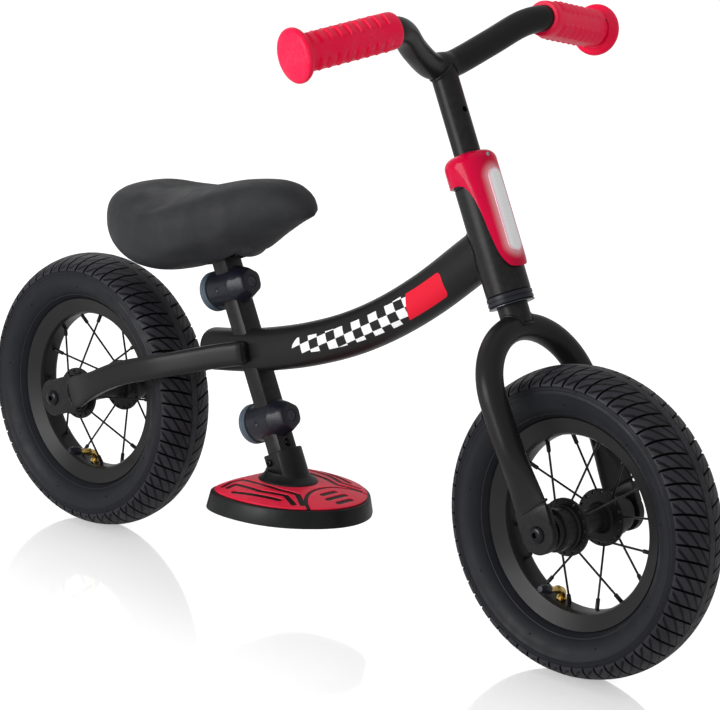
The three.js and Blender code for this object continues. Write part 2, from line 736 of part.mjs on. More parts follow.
// Split ring that grips the steerer, drilled in front for the height pin.
function stemClamp() {
  const ring = tube(coverRadius - coverWall - 0.6, steererRadius + gap, clampBottom, clampTop,
    largeFacets);
  const slot = new THREE.BoxGeometry(20, 2.4, 40).translate(-15, 0, heightPin);
  return cut(solid(ring), solid(slot), solid(pinHole()));
}

// Moulded shell: closed collar round the clamp, long tongue down the front of the head tube.
function headCover() {
  const top = coverTop;
  const shoulder = coverShoulder;
  const outer = revolve([
    [0, coverTongueEnd - 10], [coverRadius, coverTongueEnd - 10], [coverRadius, top - shoulder],
    [coverRadius - shoulder * 0.13, top - shoulder * 0.5],
    [coverRadius - shoulder * 0.5, top - shoulder * 0.13],
    [coverRadius - shoulder, top], [0, top]], coverFacets);
  const inner = revolve([
    [0, coverTongueEnd - 20], [coverRadius - coverWall, coverTongueEnd - 20],
    [coverRadius - coverWall, top - shoulder], [coverRadius - shoulder, top - coverWall],
    [0, top - coverWall]], coverFacets);
  const stemHole = rod(barRadius + 0.5, top - 10, top + 5, largeFacets);
  const screwHole = rodX(coverScrewRadius + gap, 0, 40, 8).translate(0, 0, coverScrewHeight);
  return cut(solid(outer), solid(inner), solid(stemHole), solid(screwHole), coverUnderside());
}

// Everything below the skirt and beside the tongue, as seen from the side.
function coverUnderside() {
  const edge = new THREE.Shape();
  const tip = coverTongueEnd;
  edge.moveTo(-30, tip - 30);
  edge.lineTo(40, tip - 30);
  edge.lineTo(40, tip);
  edge.lineTo(coverRadius, tip);
  edge.splineThru([[19, tip + 2.8], [15.9, tip + 13], [13.9, tip + 29], [12.2, tip + 48],
    [10, tip + 61], [6.5, tip + 70.5], [1, coverSkirt - 1]].map(([x, y]) => new THREE.Vector2(x, y)));
  edge.lineTo(-8, coverSkirt);
  edge.lineTo(-30, coverSkirt);
  return solid(prism(edge, -40, 40, 3).rotateX(90 * DEG));
}

// Long round-ended plate laid on the front of the tongue.
function coverPanel() {
  const under = coverRadius + gap;
  const skin = tube(under + panelThickness, under, panelMiddle - 60, panelMiddle + 60, 56);
  const outline = prism(roundedRect(panelLength, panelWidth, panelWidth / 2 - 0.01), 5, 40, 4)
    .rotateY(90 * DEG).translate(0, 0, panelMiddle);
  return solid(skin).intersect(solid(outline));
}

// Height pin through the clamp and the steerer, drawn back clear of the stem.
function heightPinPiece() {
  return rodX(pinRadius, barRadius + 2 * gap, coverRadius - coverWall - gap, smallFacets)
    .translate(0, 0, heightPin);
}

// Small screw through the cover's front shoulder.
function coverScrew() {
  const face = coverRadius - 0.7;
  return rodX(coverScrewRadius, face - 5, face, 8).translate(0, 0, coverScrewHeight);
}

addPart(steering, 'fork', fork(), blackPaint);
addPart(steering, 'crown_race', crownRace(), steel);
addPart(steering, 'stem_clamp', stemClamp(), darkSteel);
addPart(steering, 'height_pin', heightPinPiece(), steel);
addPart(steering, 'head_cover', headCover(), redPlastic);
addPart(steering, 'cover_panel', coverPanel(), silverPanel);
addPart(steering, 'cover_screw', coverScrew(), darkSteel);

// ---------------------------------------------------------------------------
// Handlebar and grips
// ---------------------------------------------------------------------------

// Left half of the handlebar, from the stem's top: the grip's axis, and the bends between
// the stem and the grip.
const fromStemTop = (x, y, z) => vec(x, y, barJunction + z);
const gripStart = fromStemTop(41.2, 90.8, 21.5);
const gripAxis = vec(-22.3, 94.7, -7.9).normalize();
const alongGrip = (distance) => gripStart.clone().addScaledVector(gripAxis, distance);
const barBends = [fromStemTop(0.8, 0, 0.5), fromStemTop(1.9, 16, 1.8),
  fromStemTop(17.4, 46, 11.4), fromStemTop(33.7, 71, 20.1), alongGrip(-7)];

function handlebar() {
  const mirror = (p) => vec(p.x, -p.y, p.z);
  const straight = (from, to) => new THREE.LineCurve3(from, to);
  const tip = alongGrip(gripLength - 4);
  const path = new THREE.CurvePath();
  path.add(straight(mirror(tip), mirror(alongGrip(-2))));
  path.add(new THREE.CatmullRomCurve3([mirror(alongGrip(-2)),
    ...barBends.slice(1).map(mirror).reverse(), ...barBends, alongGrip(-2)]));
  path.add(straight(alongGrip(-2), tip));
  const bar = sweep(circle(barRadius), path, 30, () => vec(1, 0, -0.3), () => [1, 1], 5);
  const stem = rod(barRadius, stemBottom, barJunction, 16);
  const bore = rod(barRadius - barWall, stemBottom - 1, barJunction - 16, 12);
  const holes = [0, 1].map((step) => solid(pinHole().translate(0, 0, step * heightStep)));
  return cut(join(solid(bar), solid(stem)), solid(bore), ...holes);
}

// Closed rubber grip along local Z with staggered short ribs and a domed end flange.
function gripShape() {
  const ribPitch = (gripLength - gripFlangeWidth - 20) / gripRibs;
  const body = [[barRadius + gap, 0], [gripRadius - 0.8, 0], [gripRadius, 1.5]];
  for (let i = 0; i < gripRibs; i++) {
    const z = 13 + i * ribPitch;
    body.push([gripRadius, z], [gripRadius + gripRib, z + ribPitch * 0.5]);
  }
  const flange = gripLength - gripFlangeWidth;
  body.push([gripRadius + 1, flange - 1], [gripFlangeRadius - 1, flange + 0.5],
    [gripFlangeRadius, flange + 3], [gripFlangeRadius - 2.5, gripLength - 1.5],
    [gripFlangeRadius * 0.5, gripLength], [0, gripLength],
    [0, gripLength - 2], [barRadius + gap, gripLength - 2]);
  return revolve(body, 16);
}

function grip(side) {
  const [start, along] = [gripStart, gripAxis].map((p) => vec(p.x, side * p.y, p.z));
  const turn = new THREE.Quaternion().setFromUnitVectors(vec(0, 0, 1), along);
  return gripShape().applyQuaternion(turn).translate(start.x, start.y, start.z);
}

addPart(steering, 'handlebar', handlebar(), blackPaint);
addPart(steering, 'left_grip', grip(1), redRubber);
addPart(steering, 'right_grip', grip(-1), redRubber);

// ---------------------------------------------------------------------------
// Saddle
// ---------------------------------------------------------------------------

// Stepped post: a head as thick as the seat tube, a stem that slides inside it.
// It lies along local Z with the step at zero and the head upward.
function steppedPost(stemLength, headLength) {
  const bore = tubeWall + gap;
  const head = prism(roundedRect(postDepth, postWidth, postCorner), 0, headLength);
  const stem = prism(roundedRect(postDepth - 2 * bore, postWidth - 2 * bore, postCorner - bore),
    -stemLength, 1);
  return join(solid(head), solid(stem));
}

// Holes down the front of a post for the clamp screw, one for each height.
function indexHoles(count, pitch, first) {
  return Array.from({ length: count }, (_, i) =>
    solid(rodX(2.5, -postDepth, -postDepth / 2 + tubeWall + 4, 8)
      .translate(0, 0, first - i * pitch)));
}

// Pressed pan in the cushion's pocket, standing on the post's head, with a rounded
// lobe that hangs in front of the post.
const saddlePanTop = 296;
const saddlePanRear = -168;
const saddlePanFront = -108;
const saddleLobe = { x: -100, length: 17, width: 15, depth: 14.8 };

function saddlePan() {
  const length = saddlePanFront - saddlePanRear;
  const plate = prism(roundedRect(length, 34, 6), saddlePanTop - panThickness, saddlePanTop)
    .translate(saddlePanRear + length / 2, 0, 0);
  const lobe = new THREE.SphereGeometry(1, 12, 8)
    .scale(saddleLobe.length, saddleLobe.width, saddleLobe.depth)
    .translate(saddleLobe.x, 0, saddlePanTop);
  const above = new THREE.BoxGeometry(200, 100, 60).translate(saddleLobe.x, 0, saddlePanTop + 30);
  return cut(join(solid(plate), solid(lobe)), solid(above));
}

// Button-head bolt in the front of the post, just under the saddle.
function saddleBolt() {
  const face = postDepth / 2 + gap;
  const shank = rodX(saddleBoltRadius - 1.4, face - 6, face + 1, 8);
  const head = rodX(saddleBoltRadius, face, face + 3.6, smallFacets);
  return join(solid(shank), solid(head)).translate([0, 0, saddleBoltHeight]);
}

const postStep = clampSpacing + seatTubeReach + gap;

// How far above its barrel's level a clamp screw meets the post.
const screwRise = barrelRise + postDepth / 2 * Math.sin(barrelTilt * DEG);

// The post's head is cut level, to seat under the pan.
function saddlePost() {
  const holes = indexHoles(3, 20, clampSpacing + screwRise - postStep);
  const lean = (90 - seatAngle) * DEG;
  const level = (saddlePanTop - panThickness - gap - seatTubeZ) / Math.cos(lean) - postStep;
  const above = new THREE.BoxGeometry(200, 100, 100).translate(0, 0, 50)
    .rotateY(lean).translate(0, 0, level);
  const boltHole = rodX(saddleBoltRadius - 1.4 + gap, 0, postDepth, 8)
    .translate(0, 0, saddleBoltHeight - postStep);
  const post = steppedPost(saddleStemLength, level + postDepth);
  return cut(post, solid(above), solid(boltHole), ...holes);
}

// Plan and profile of the cushion from the tail (0) to the nose (1).
const saddleTail = -247;
const saddleNose = -25;
const saddleStations = [
  // along, half width, top, underside
  [0, 22, 305, 298],
  [0.04, 41, 325, 281],
  [0.12, 54.5, 332.3, 266],
  [0.25, 64.5, 332, 257.5],
  [0.4, 67.5, 334.5, 263.5],
  [0.55, 60, 342, 279],
  [0.7, 46, 350, 290],
  [0.84, 31, 353, 306],
  [0.94, 20.5, 345, 319],
  [1, 9, 332, 326],
];

// Smooth values between the stations.
function stationAt(t) {
  const next = Math.max(1, saddleStations.findIndex(([along]) => along >= t));
  const [a, b] = [saddleStations[next - 1], saddleStations[next]];
  const s = (t - a[0]) / (b[0] - a[0]);
  return a.map((value, i) => mix(value, b[i], s));
}

function cushion() {
  const dome = new THREE.Shape();
  dome.absellipse(0, 0, 1, 1, 0, 2 * Math.PI);
  const body = loft(dome, 20, (t, x, y) => {
    const [, half, top, under] = stationAt(t);
    const squareX = Math.sign(x) * Math.abs(x) ** 0.75;
    const squareY = Math.sign(y) * Math.abs(y) ** 0.75;
    return vec(mix(saddleTail, saddleNose, t), -half * squareX,
      (top + under) / 2 + squareY * (top - under) / 2);
  }, 5);
  const [rear, front] = [saddlePanRear - 2, saddleLobe.x + saddleLobe.length + 2];
  const pocket = new THREE.BoxGeometry(front - rear, 38, 60)
    .translate((front + rear) / 2, 0, saddlePanTop + gap - 30);
  return cut(solid(body), solid(pocket));
}

const saddlePostMesh = addPart(seatAxis, 'saddle_post', saddlePost(), blackPaint);
saddlePostMesh.position.z = postStep;
addPart(seatAxis, 'saddle_bolt', saddleBolt(), darkSteel);
addPart(bike, 'saddle_pan', saddlePan(), blackPlastic);
addPart(bike, 'saddle_cushion', cushion(), saddleVinyl);

// ---------------------------------------------------------------------------
// Footrest
// ---------------------------------------------------------------------------

function footrestPost() {
  const post = steppedPost(footStemLength, footHeadLength).rotate([180, 0, 0]);
  const hole = rodX(buttonRadius + gap, postDepth / 2 - tubeWall - gap, postDepth, smallFacets)
    .translate(0, 0, buttonHeight + postStep);
  return cut(post, solid(hole), solid(footrestBoltHole().translate(0, 0, postStep)));
}

// Spring button in the front of the footrest's post.
function footrestButton() {
  return rodX(buttonRadius, postDepth / 2 - tubeWall, postDepth / 2 + 1, smallFacets)
    .translate(0, 0, buttonHeight);
}

// Plan of the footrest at its red edge, grown outward: straight tail, bulging sides, round front.
function footOutline(lengthwise, sideways = lengthwise) {
  const [l, w] = [footHalfLength + lengthwise, footHalfWidth + sideways];
  const shape = new THREE.Shape();
  shape.moveTo(-l, -w * 0.55);
  shape.bezierCurveTo(-l, -w * 0.82, -l * 0.8, -w, -l * 0.33, -w);
  shape.bezierCurveTo(l * 0.2, -w, l * 0.55, -w * 0.8, l * 0.76, -w * 0.55);
  shape.bezierCurveTo(l * 0.92, -w * 0.38, l, -w * 0.2, l, 0);
  shape.bezierCurveTo(l, w * 0.2, l * 0.92, w * 0.38, l * 0.76, w * 0.55);
  shape.bezierCurveTo(l * 0.55, w * 0.8, l * 0.2, w, -l * 0.33, w);
  shape.bezierCurveTo(-l * 0.8, w, -l, w * 0.82, -l, w * 0.55);
  return shape;
}

// Where the post's axis crosses a level.
const postAtHeight = (z) => seatTubeX + (seatTubeZ - z) / Math.tan(seatAngle * DEG);
const collarX = postAtHeight(footPadCrown) - 3.5;

// Section of the socket: squared rear, then flats that widen to a round front.
function socketSection() {
  const shape = new THREE.Shape();
  const roundFrom = 64 * DEG;
  shape.moveTo(-socketRear, -socketFlat);
  shape.lineTo(-2, -socketFlat);
  shape.absarc(0, 0, socketRadius, -roundFrom, roundFrom);
  shape.lineTo(-2, socketFlat);
  shape.lineTo(-socketRear, socketFlat);
  return shape;
}

// Base with sloping sides, and the collar and clamp socket that carry it on the post.
function footBase() {
  const height = footBaseTop - footBaseBottom;
  const spread = [footHalfLength, footHalfWidth].map((half, i) =>
    (half + footBaseRim) / (half + footBaseFoot[i]));
  const slab = loft(footOutline(...footBaseFoot), 1, (t, x, y) =>
    vec(footCentreX + x * mix(1, spread[0], t), y * mix(1, spread[1], t),
      footBaseBottom + height * t), 5);
  const collar = rod(collarRadius, footBaseTop - 4, footPadCrown + 0.5, largeFacets)
    .scale(collarStretch, 1, 1).translate(collarX, 0, 0);
  const flare = rod(collarRadius, footPadCrown + 0.5, footPadCrown + 8, largeFacets, socketRadius)
    .scale(collarStretch, 1, 1).translate(collarX, 0, 0);
  const socket = inBikeFrame(seatAxis, prism(socketSection(), socketTop - 32, socketTop, 5));
  const postHole = inBikeFrame(seatAxis, prism(roundedRect(postDepth + 2 * gap,
    postWidth + 2 * gap, postCorner), -postStep - footHeadLength - gap, 0));
  const split = inBikeFrame(seatAxis, new THREE.BoxGeometry(10, 2, 36)
    .translate(-socketRear, 0, socketTop - 8));
  const boltHole = inBikeFrame(seatAxis, footrestBoltHole());
  return cut(join(solid(slab), solid(collar), solid(flare), socket), postHole, split, boltHole);
}

// Button-head screw through the right flat of the socket into the post.
function footrestBolt() {
  const face = -socketFlat - gap;
  const head = rodY(socketBoltRadius, face - 1.6, face, smallFacets);
  const shank = rodY(socketBoltShank, face - 1, -socketBoltTip, 8);
  return join(solid(head), solid(shank)).translate([socketBoltX, 0, socketBoltHeight]);
}

function footrestBoltHole() {
  return rodY(socketBoltShank + gap, -socketFlat - 2, -socketBoltTip + gap, 8)
    .translate(socketBoltX, 0, socketBoltHeight);
}

// Closed stroke for a slot: boxes along a path with round ends and corners.
function slot(path, width = slotWidth) {
  const [low, high] = [footBaseTop - 2, footPadCrown + 2];
  const pieces = path.map(([x, y]) => solid(rod(width / 2, low, high, 8).translate(x, y, 0)));
  for (let i = 1; i < path.length; i++) {
    const [a, b] = [new THREE.Vector2(...path[i - 1]), new THREE.Vector2(...path[i])];
    const run = b.clone().sub(a);
    pieces.push(solid(new THREE.BoxGeometry(run.length(), width, high - low)
      .rotateZ(run.angle())
      .translate((a.x + b.x) / 2, (a.y + b.y) / 2, (low + high) / 2)));
  }
  return join(...pieces);
}

// Slots of the right half of the main pad: two bent strokes round a short straight one.
const sideSlots = [
  [[-72, -49], [-72, -38], [-67, -30], [-24, -28.5], [-6, -24.5], [11, -35.5]],
  [[-65, -50], [-64, -42], [-34, -41.5], [-11, -34], [5, -40.5]],
  [[-53, -54.5], [-9, -43.5]],
];
const frontSlots = [[[10, -8], [10, 8]], [[18, -11], [18, 11]], [[26, -8], [26, 8]]];
const frontArc = { x: 36, radius: 40 };

// Domed red tread, from its edge up to the collar.
function padDome() {
  const crown = collarStretch * (collarRadius + 0.5) / footHalfWidth;
  const dome = loft(footOutline(0), 2, (t, x, y) => {
    const rise = Math.max(0, 2 * t - 1);
    const scale = mix(1, crown, rise);
    const middle = mix(footCentreX, collarX, rise);
    const height = t === 0 ? footBaseTop + gap : mix(footPadEdge, footPadCrown, rise);
    return vec(middle + x * scale, y * scale, height);
  }, 5);
  const hole = rod(collarRadius + gap, footBaseTop - 5, footPadCrown + 5, largeFacets)
    .scale(collarStretch, 1, 1).translate(collarX, 0, 0);
  return cut(solid(dome), solid(hole));
}

function frontSector(radius) {
  return solid(rod(radius, footBaseTop - 5, footPadCrown + 5, 36).translate(frontArc.x, 0, 0));
}

function mainPad() {
  const mirrored = (path) => path.map(([x, y]) => [x, -y]);
  return cut(padDome(), frontSector(frontArc.radius + slotWidth / 2),
    ...sideSlots.flatMap((path) => [slot(path), slot(mirrored(path))]));
}

function frontPad() {
  return cut(padDome().intersect(frontSector(frontArc.radius - slotWidth / 2)),
    ...frontSlots.map((path) => slot(path)));
}

const footPostMesh = addPart(seatAxis, 'footrest_post', footrestPost(), blackPaint);
footPostMesh.position.z = -postStep;
addPart(seatAxis, 'footrest_button', footrestButton(), darkSteel);
addPart(seatAxis, 'footrest_bolt', footrestBolt(), darkSteel);
addPart(bike, 'footrest_base', footBase(), blackRubber);
addPart(bike, 'footrest_pad', mainPad(), redRubber);
addPart(bike, 'footrest_front_pad', frontPad(), redRubber);

export default bike;
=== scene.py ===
"""Dresses the balance bike's fixed frame: smooth turned, swept and padded pieces with their
finishes, and the stage they stand on. Metres; +X forward, +Y the rider's left, +Z up."""

import json
import math

import bmesh
import bpy
import numpy as np
from bpy.props import FloatProperty, FloatVectorProperty, IntProperty, PointerProperty
from mathutils import Matrix, Vector


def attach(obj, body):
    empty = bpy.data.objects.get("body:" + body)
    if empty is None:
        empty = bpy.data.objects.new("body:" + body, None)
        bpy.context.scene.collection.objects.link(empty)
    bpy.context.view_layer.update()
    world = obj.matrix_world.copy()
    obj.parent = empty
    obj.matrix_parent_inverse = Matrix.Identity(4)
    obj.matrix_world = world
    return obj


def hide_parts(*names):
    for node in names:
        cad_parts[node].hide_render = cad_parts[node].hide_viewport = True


bl_info = {
    "name": "Balance Bike",
    "version": (1, 0, 0),
    "blender": (4, 5, 0),
    "location": "3D View > Sidebar > Bike",
    "description": "Builds a child's balance bike, piece by piece, on its jointed frame",
    "category": "Object",
}

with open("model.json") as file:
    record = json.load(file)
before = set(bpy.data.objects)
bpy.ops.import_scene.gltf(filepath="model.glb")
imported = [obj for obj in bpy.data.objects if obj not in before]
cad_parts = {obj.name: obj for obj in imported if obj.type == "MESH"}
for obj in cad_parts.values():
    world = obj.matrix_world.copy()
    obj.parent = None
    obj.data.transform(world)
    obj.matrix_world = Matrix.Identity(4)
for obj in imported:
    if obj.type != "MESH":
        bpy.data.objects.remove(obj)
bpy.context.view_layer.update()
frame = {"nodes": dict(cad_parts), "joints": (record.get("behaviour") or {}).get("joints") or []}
JOINTS = {joint["name"]: joint for joint in frame["joints"]}

MM = 0.001
GAP = 0.0003  # between pieces that seat on each other
SIDES = ((1, "left"), (-1, "right"))


# ---------------------------------------------------------------------------
# Places
# ---------------------------------------------------------------------------


def axis_place(origin, up, ahead=None):
    """Matrix of a local frame whose Z is up and whose X points forward."""
    z = Vector(up).normalized()
    x = Vector(ahead) if ahead else Vector((0, 1, 0)).cross(z)
    x = (x - z * x.dot(z)).normalized()
    y = z.cross(x)
    place = Matrix((x, y, z)).transposed().to_4x4()
    place.translation = Vector(origin)
    return place


def across_place(origin=(0, 0, 0)):
    """Matrix of a wheel's frame: local Z is the axle, pointing left, and local X is forward."""
    return axis_place(origin, (0, 1, 0), (1, 0, 0))


def facing_front(x, height):
    """Matrix of a hole or screw in front of a post: local Z points forward."""
    return axis_place((x, 0, height), (1, 0, 0), (0, 1, 0))


def turns(count, shift=0.0):
    """Angles evenly spaced round a full turn."""
    return [2 * math.pi * (k + shift) / count for k in range(count)]


def mm(points):
    """Points written in millimetres."""
    return [tuple(value * MM for value in point) for point in points]


STEERING = axis_place(JOINTS["steering"]["pos_m"], JOINTS["steering"]["axis"])
SEAT_MIDDLE = Vector((-0.0884, 0, 0.1957))
SEAT = axis_place(SEAT_MIDDLE, JOINTS["saddle_height"]["axis"])
LEAN = math.acos(SEAT[2][2])  # of the seat tube and its posts, from upright
BARRELS = {
    name: axis_place(JOINTS[f"{name}_knob_turn"]["pos_m"], JOINTS[f"{name}_knob_turn"]["axis"])
    for name in ("saddle", "footrest")
}
WHEELS = {name: Vector(JOINTS[f"{name}_wheel_spin"]["pos_m"]) for name in ("front", "rear")}


# ---------------------------------------------------------------------------
# Making and finishing a piece
# ---------------------------------------------------------------------------


def deselect():
    if bpy.context.mode != "OBJECT":
        bpy.ops.object.mode_set(mode="OBJECT")
    bpy.ops.object.select_all(action="DESELECT")


def choose(obj):
    """Makes this the only selected object, and the active one."""
    deselect()
    obj.select_set(True)
    bpy.context.view_layer.objects.active = obj


def edit(obj, mode="VERT"):
    """Takes a piece into edit mode with all of it selected."""
    choose(obj)
    bpy.ops.object.mode_set(mode="EDIT")
    bpy.ops.mesh.select_mode(type=mode)
    bpy.ops.mesh.select_all(action="SELECT")


def merge(threshold=1e-6):
    """Merges the doubled points of the mesh being edited."""
    bpy.ops.mesh.select_all(action="SELECT")
    bpy.ops.mesh.remove_doubles(threshold=threshold)


def face_outward():
    """Turns the faces of the mesh being edited outward."""
    bpy.ops.mesh.select_all(action="SELECT")
    bpy.ops.mesh.normals_make_consistent(inside=False)


def named(name, place=None):
    """Names the piece just made, and moves its mesh to the given place."""
    bpy.ops.object.mode_set(mode="OBJECT")
    obj = bpy.context.object
    obj.name = obj.data.name = name
    if place:
        obj.matrix_world = place @ obj.matrix_world
    bpy.ops.object.transform_apply(location=True, rotation=True, scale=True)
    return obj


def moved(obj, place):
    """The piece, its mesh moved by the given matrix."""
    obj.data.transform(place)
    return obj


def modify(obj, kind, **settings):
    """Adds a modifier with these settings and applies it."""
    choose(obj)
    modifier = obj.modifiers.new(kind.title(), kind)
    for key, value in settings.items():
        setattr(modifier, key, value)
    bpy.ops.object.modifier_apply(modifier=modifier.name)
    return obj


def bevel(obj, width, segments=2, angle=35):
    return modify(obj, "BEVEL", width=width, segments=segments, limit_method="ANGLE",
                  angle_limit=math.radians(angle), use_clamp_overlap=True)


def carve(obj, *tools, operation="DIFFERENCE"):
    """Cuts each tool's shape out of the piece, or keeps or adds it."""
    for tool in tools:
        modify(obj, "BOOLEAN", operation=operation, solver="EXACT", object=tool)
        bpy.data.objects.remove(tool)
    return obj


def joined(first, *others):
    """Several meshes as one piece."""
    choose(first)
    for obj in others:
        obj.select_set(True)
    bpy.ops.object.join()
    return first


def copied(obj, name, place):
    """A copy with its own mesh, moved by the given matrix."""
    twin = obj.copy()
    twin.data = obj.data.copy()
    twin.name = twin.data.name = name
    bpy.context.collection.objects.link(twin)
    return moved(twin, place)


def dress(obj, name, body, finish, slot, *nodes, angle=35):
    """Names and shades a piece, gives it its finish and seats it on its body for its nodes."""
    choose(obj)
    bpy.ops.object.shade_smooth_by_angle(angle=math.radians(angle))
    obj.name = obj.data.name = name
    obj.data.materials.clear()
    obj.data.materials.append(finish)
    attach(obj, body)
    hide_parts(*nodes)
    return obj


def paint_node(name, finish):
    """Gives a frame node that shows its own finish."""
    for slot in frame["nodes"][name].material_slots:
        slot.material = finish


def drawn(points):
    """A closed loop of edges through (radius, height) points, left selected in edit mode."""
    deselect()
    bpy.ops.mesh.primitive_plane_add(size=0.01)
    edit(bpy.context.object)
    bpy.ops.mesh.merge(type="CENTER")
    bpy.ops.transform.translate(value=(points[0][0], 0, points[0][1]))
    for (r0, h0), (r1, h1) in zip(points, [*points[1:], points[0]]):
        bpy.ops.mesh.extrude_region_move(
            TRANSFORM_OT_translate={"value": (r1 - r0, 0, h1 - h0)})
    merge(1e-7)


def spin(steps, angle, **settings):
    """Turns what is drawn about local Z."""
    bpy.ops.mesh.select_all(action="SELECT")
    bpy.ops.mesh.spin(steps=steps, angle=angle, center=(0, 0, 0), axis=(0, 0, 1), **settings)


def turned(name, profile, place=None, steps=64):
    """A turned piece: a closed profile of (radius, height) points spun about local Z."""
    drawn(profile)
    spin(steps, 2 * math.pi)
    merge()
    face_outward()
    return named(name, place)


def rod(name, radius, low, high, place=None, vertices=32):
    """A plain round or many-sided rod along local Z."""
    deselect()
    bpy.ops.mesh.primitive_cylinder_add(vertices=vertices, radius=radius, depth=high - low,
                                        location=(0, 0, (low + high) / 2))
    return named(name, place)


def block(name, low, high, place=None):
    """A box between two corners."""
    deselect()
    bpy.ops.mesh.primitive_cube_add(
        size=1, location=[(a + b) / 2 for a, b in zip(low, high)])
    bpy.context.object.scale = [b - a for a, b in zip(low, high)]
    return named(name, place)


def slab(name, outline, low, high, place=None):
    """A plate of this outline of (x, z) points, from low to high across Y."""
    drawn(outline)
    bpy.ops.mesh.select_all(action="SELECT")
    bpy.ops.mesh.edge_face_add()
    bpy.ops.transform.translate(value=(0, low, 0))
    bpy.ops.mesh.extrude_region_move(TRANSFORM_OT_translate={"value": (0, high - low, 0)})
    face_outward()
    return named(name, place)


def ball(name, centre, radii, segments, rings):
    deselect()
    bpy.ops.mesh.primitive_uv_sphere_add(segments=segments, ring_count=rings, radius=1,
                                         location=centre)
    bpy.context.object.scale = radii
    return named(name)


def rounded_bar(name, section, low, high, edge=0.0006, place=None):
    """A bar along local Z, its section given by half width, half depth and corner."""
    half_x, half_y, corner = section
    obj = block(name, (-half_x, -half_y, low), (half_x, half_y, high))
    edit(obj, "EDGE")
    bpy.ops.mesh.select_all(action="DESELECT")
    bpy.ops.object.mode_set(mode="OBJECT")
    for line in obj.data.edges:
        a, b = (obj.data.vertices[i].co for i in line.vertices)
        line.select = abs(a.z - b.z) > 1e-6
    bpy.ops.object.mode_set(mode="EDIT")
    bpy.ops.mesh.bevel(offset=corner, segments=2, affect="EDGES")
    named(name)
    if edge:
        bevel(obj, edge, 2, 60)
    return moved(obj, place or SEAT)


def swept(name, rings, closed=False):
    """A skin over rings of points: a grid laid round the rings, merged and capped."""
    around, along = len(rings[0]), len(rings)
    deselect()
    bpy.ops.mesh.primitive_grid_add(x_subdivisions=around, y_subdivisions=along - 1, size=1)
    obj = bpy.context.object
    points = np.array([[*ring, ring[0]] for ring in rings], float).reshape(-1, 3)
    obj.data.vertices.foreach_set("co", points.ravel())
    edit(obj)
    merge()
    if not closed:
        bpy.ops.mesh.select_all(action="SELECT")
        bpy.ops.mesh.fill_holes(sides=0)
    face_outward()
    return named(name)


def spline(points, steps):
    """Points evenly spaced along a smooth curve through the given points."""
    points = [Vector(p) for p in points]
    ends = [2 * points[0] - points[1], *points, 2 * points[-1] - points[-2]]
    fine = []
    for a, b, c, d in zip(ends, ends[1:], ends[2:], ends[3:]):
        for k in range(24):
            t = k / 24
            fine.append(0.5 * (2 * b + (c - a) * t + (2 * a - 5 * b + 4 * c - d) * t * t
                               + (3 * b - a - 3 * c + d) * t ** 3))
    fine.append(points[-1])
    runs = np.cumsum([0] + [(q - p).length for p, q in zip(fine, fine[1:])])
    marks = np.linspace(0, runs[-1], steps + 1)
    columns = [np.interp(marks, runs, [p[i] for p in fine]) for i in range(3)]
    return [Vector(p) for p in zip(*columns)]


def superellipse(sides, power):
    """A unit section: a circle at power 1, nearer a square as the power falls."""
    return [(math.copysign(abs(math.cos(a)) ** power, math.cos(a)),
             math.copysign(abs(math.sin(a)) ** power, math.sin(a))) for a in turns(sides)]


def rings_along(path, across, size, section):
    """Section rings along a path. across gives the section's first direction, and size its
    half width and half height, at a share t of the way."""
    rings = []
    last = len(path) - 1
    for i, centre in enumerate(path):
        tangent = (path[min(i + 1, last)] - path[max(i - 1, 0)]).normalized()
        side = Vector(across)
        side = (side - tangent * side.dot(tangent)).normalized()
        up = tangent.cross(side)
        width, height = size(i / last)
        rings.append([centre + side * (x * width) + up * (y * height) for x, y in section])
    return rings


def weld_bead(points, normals, radius=0.0016):
    """A rippled weld fillet laid along a closed loop of points."""
    rings = []
    for k, centre in enumerate(points):
        along = (points[(k + 1) % len(points)] - points[k - 1]).normalized()
        out = (normals[k] - along * normals[k].dot(along)).normalized()
        across = along.cross(out)
        r = radius * (1.0 + 0.10 * math.sin(k * 2 * math.pi / 3))
        rings.append([centre + (out * math.cos(a) + across * math.sin(a)) * r for a in turns(8)])
    return swept("weld", [*rings, rings[0]], closed=True)


def ease(t, start, end):
    """0 up to the start and 1 from the end on, with a smooth rise between."""
    s = min(1.0, max(0.0, (t - start) / (end - start)))
    return s * s * (3 - 2 * s)


def mix(a, b, t):
    return a + (b - a) * t


def set_uv(obj, where):
    """Writes a UV map from each corner's point and its face's middle."""
    layer = obj.data.uv_layers.active or obj.data.uv_layers.new(name="UVMap")
    for face in obj.data.polygons:
        for loop in face.loop_indices:
            point = obj.data.vertices[obj.data.loops[loop].vertex_index].co
            layer.data[loop].uv = where(point, face.center)


# ---------------------------------------------------------------------------
# Finishes
# ---------------------------------------------------------------------------


def colour(hex_code):
    """Linear colour of a written one."""
    parts = [int(hex_code[i:i + 2], 16) / 255 for i in (1, 3, 5)]
    return (*[p / 12.92 if p <= 0.04045 else ((p + 0.055) / 1.055) ** 2.4 for p in parts], 1)


def dimmed(base, share):
    """A colour made darker or lighter by one factor."""
    return [c * share for c in base[:3]] + [1]


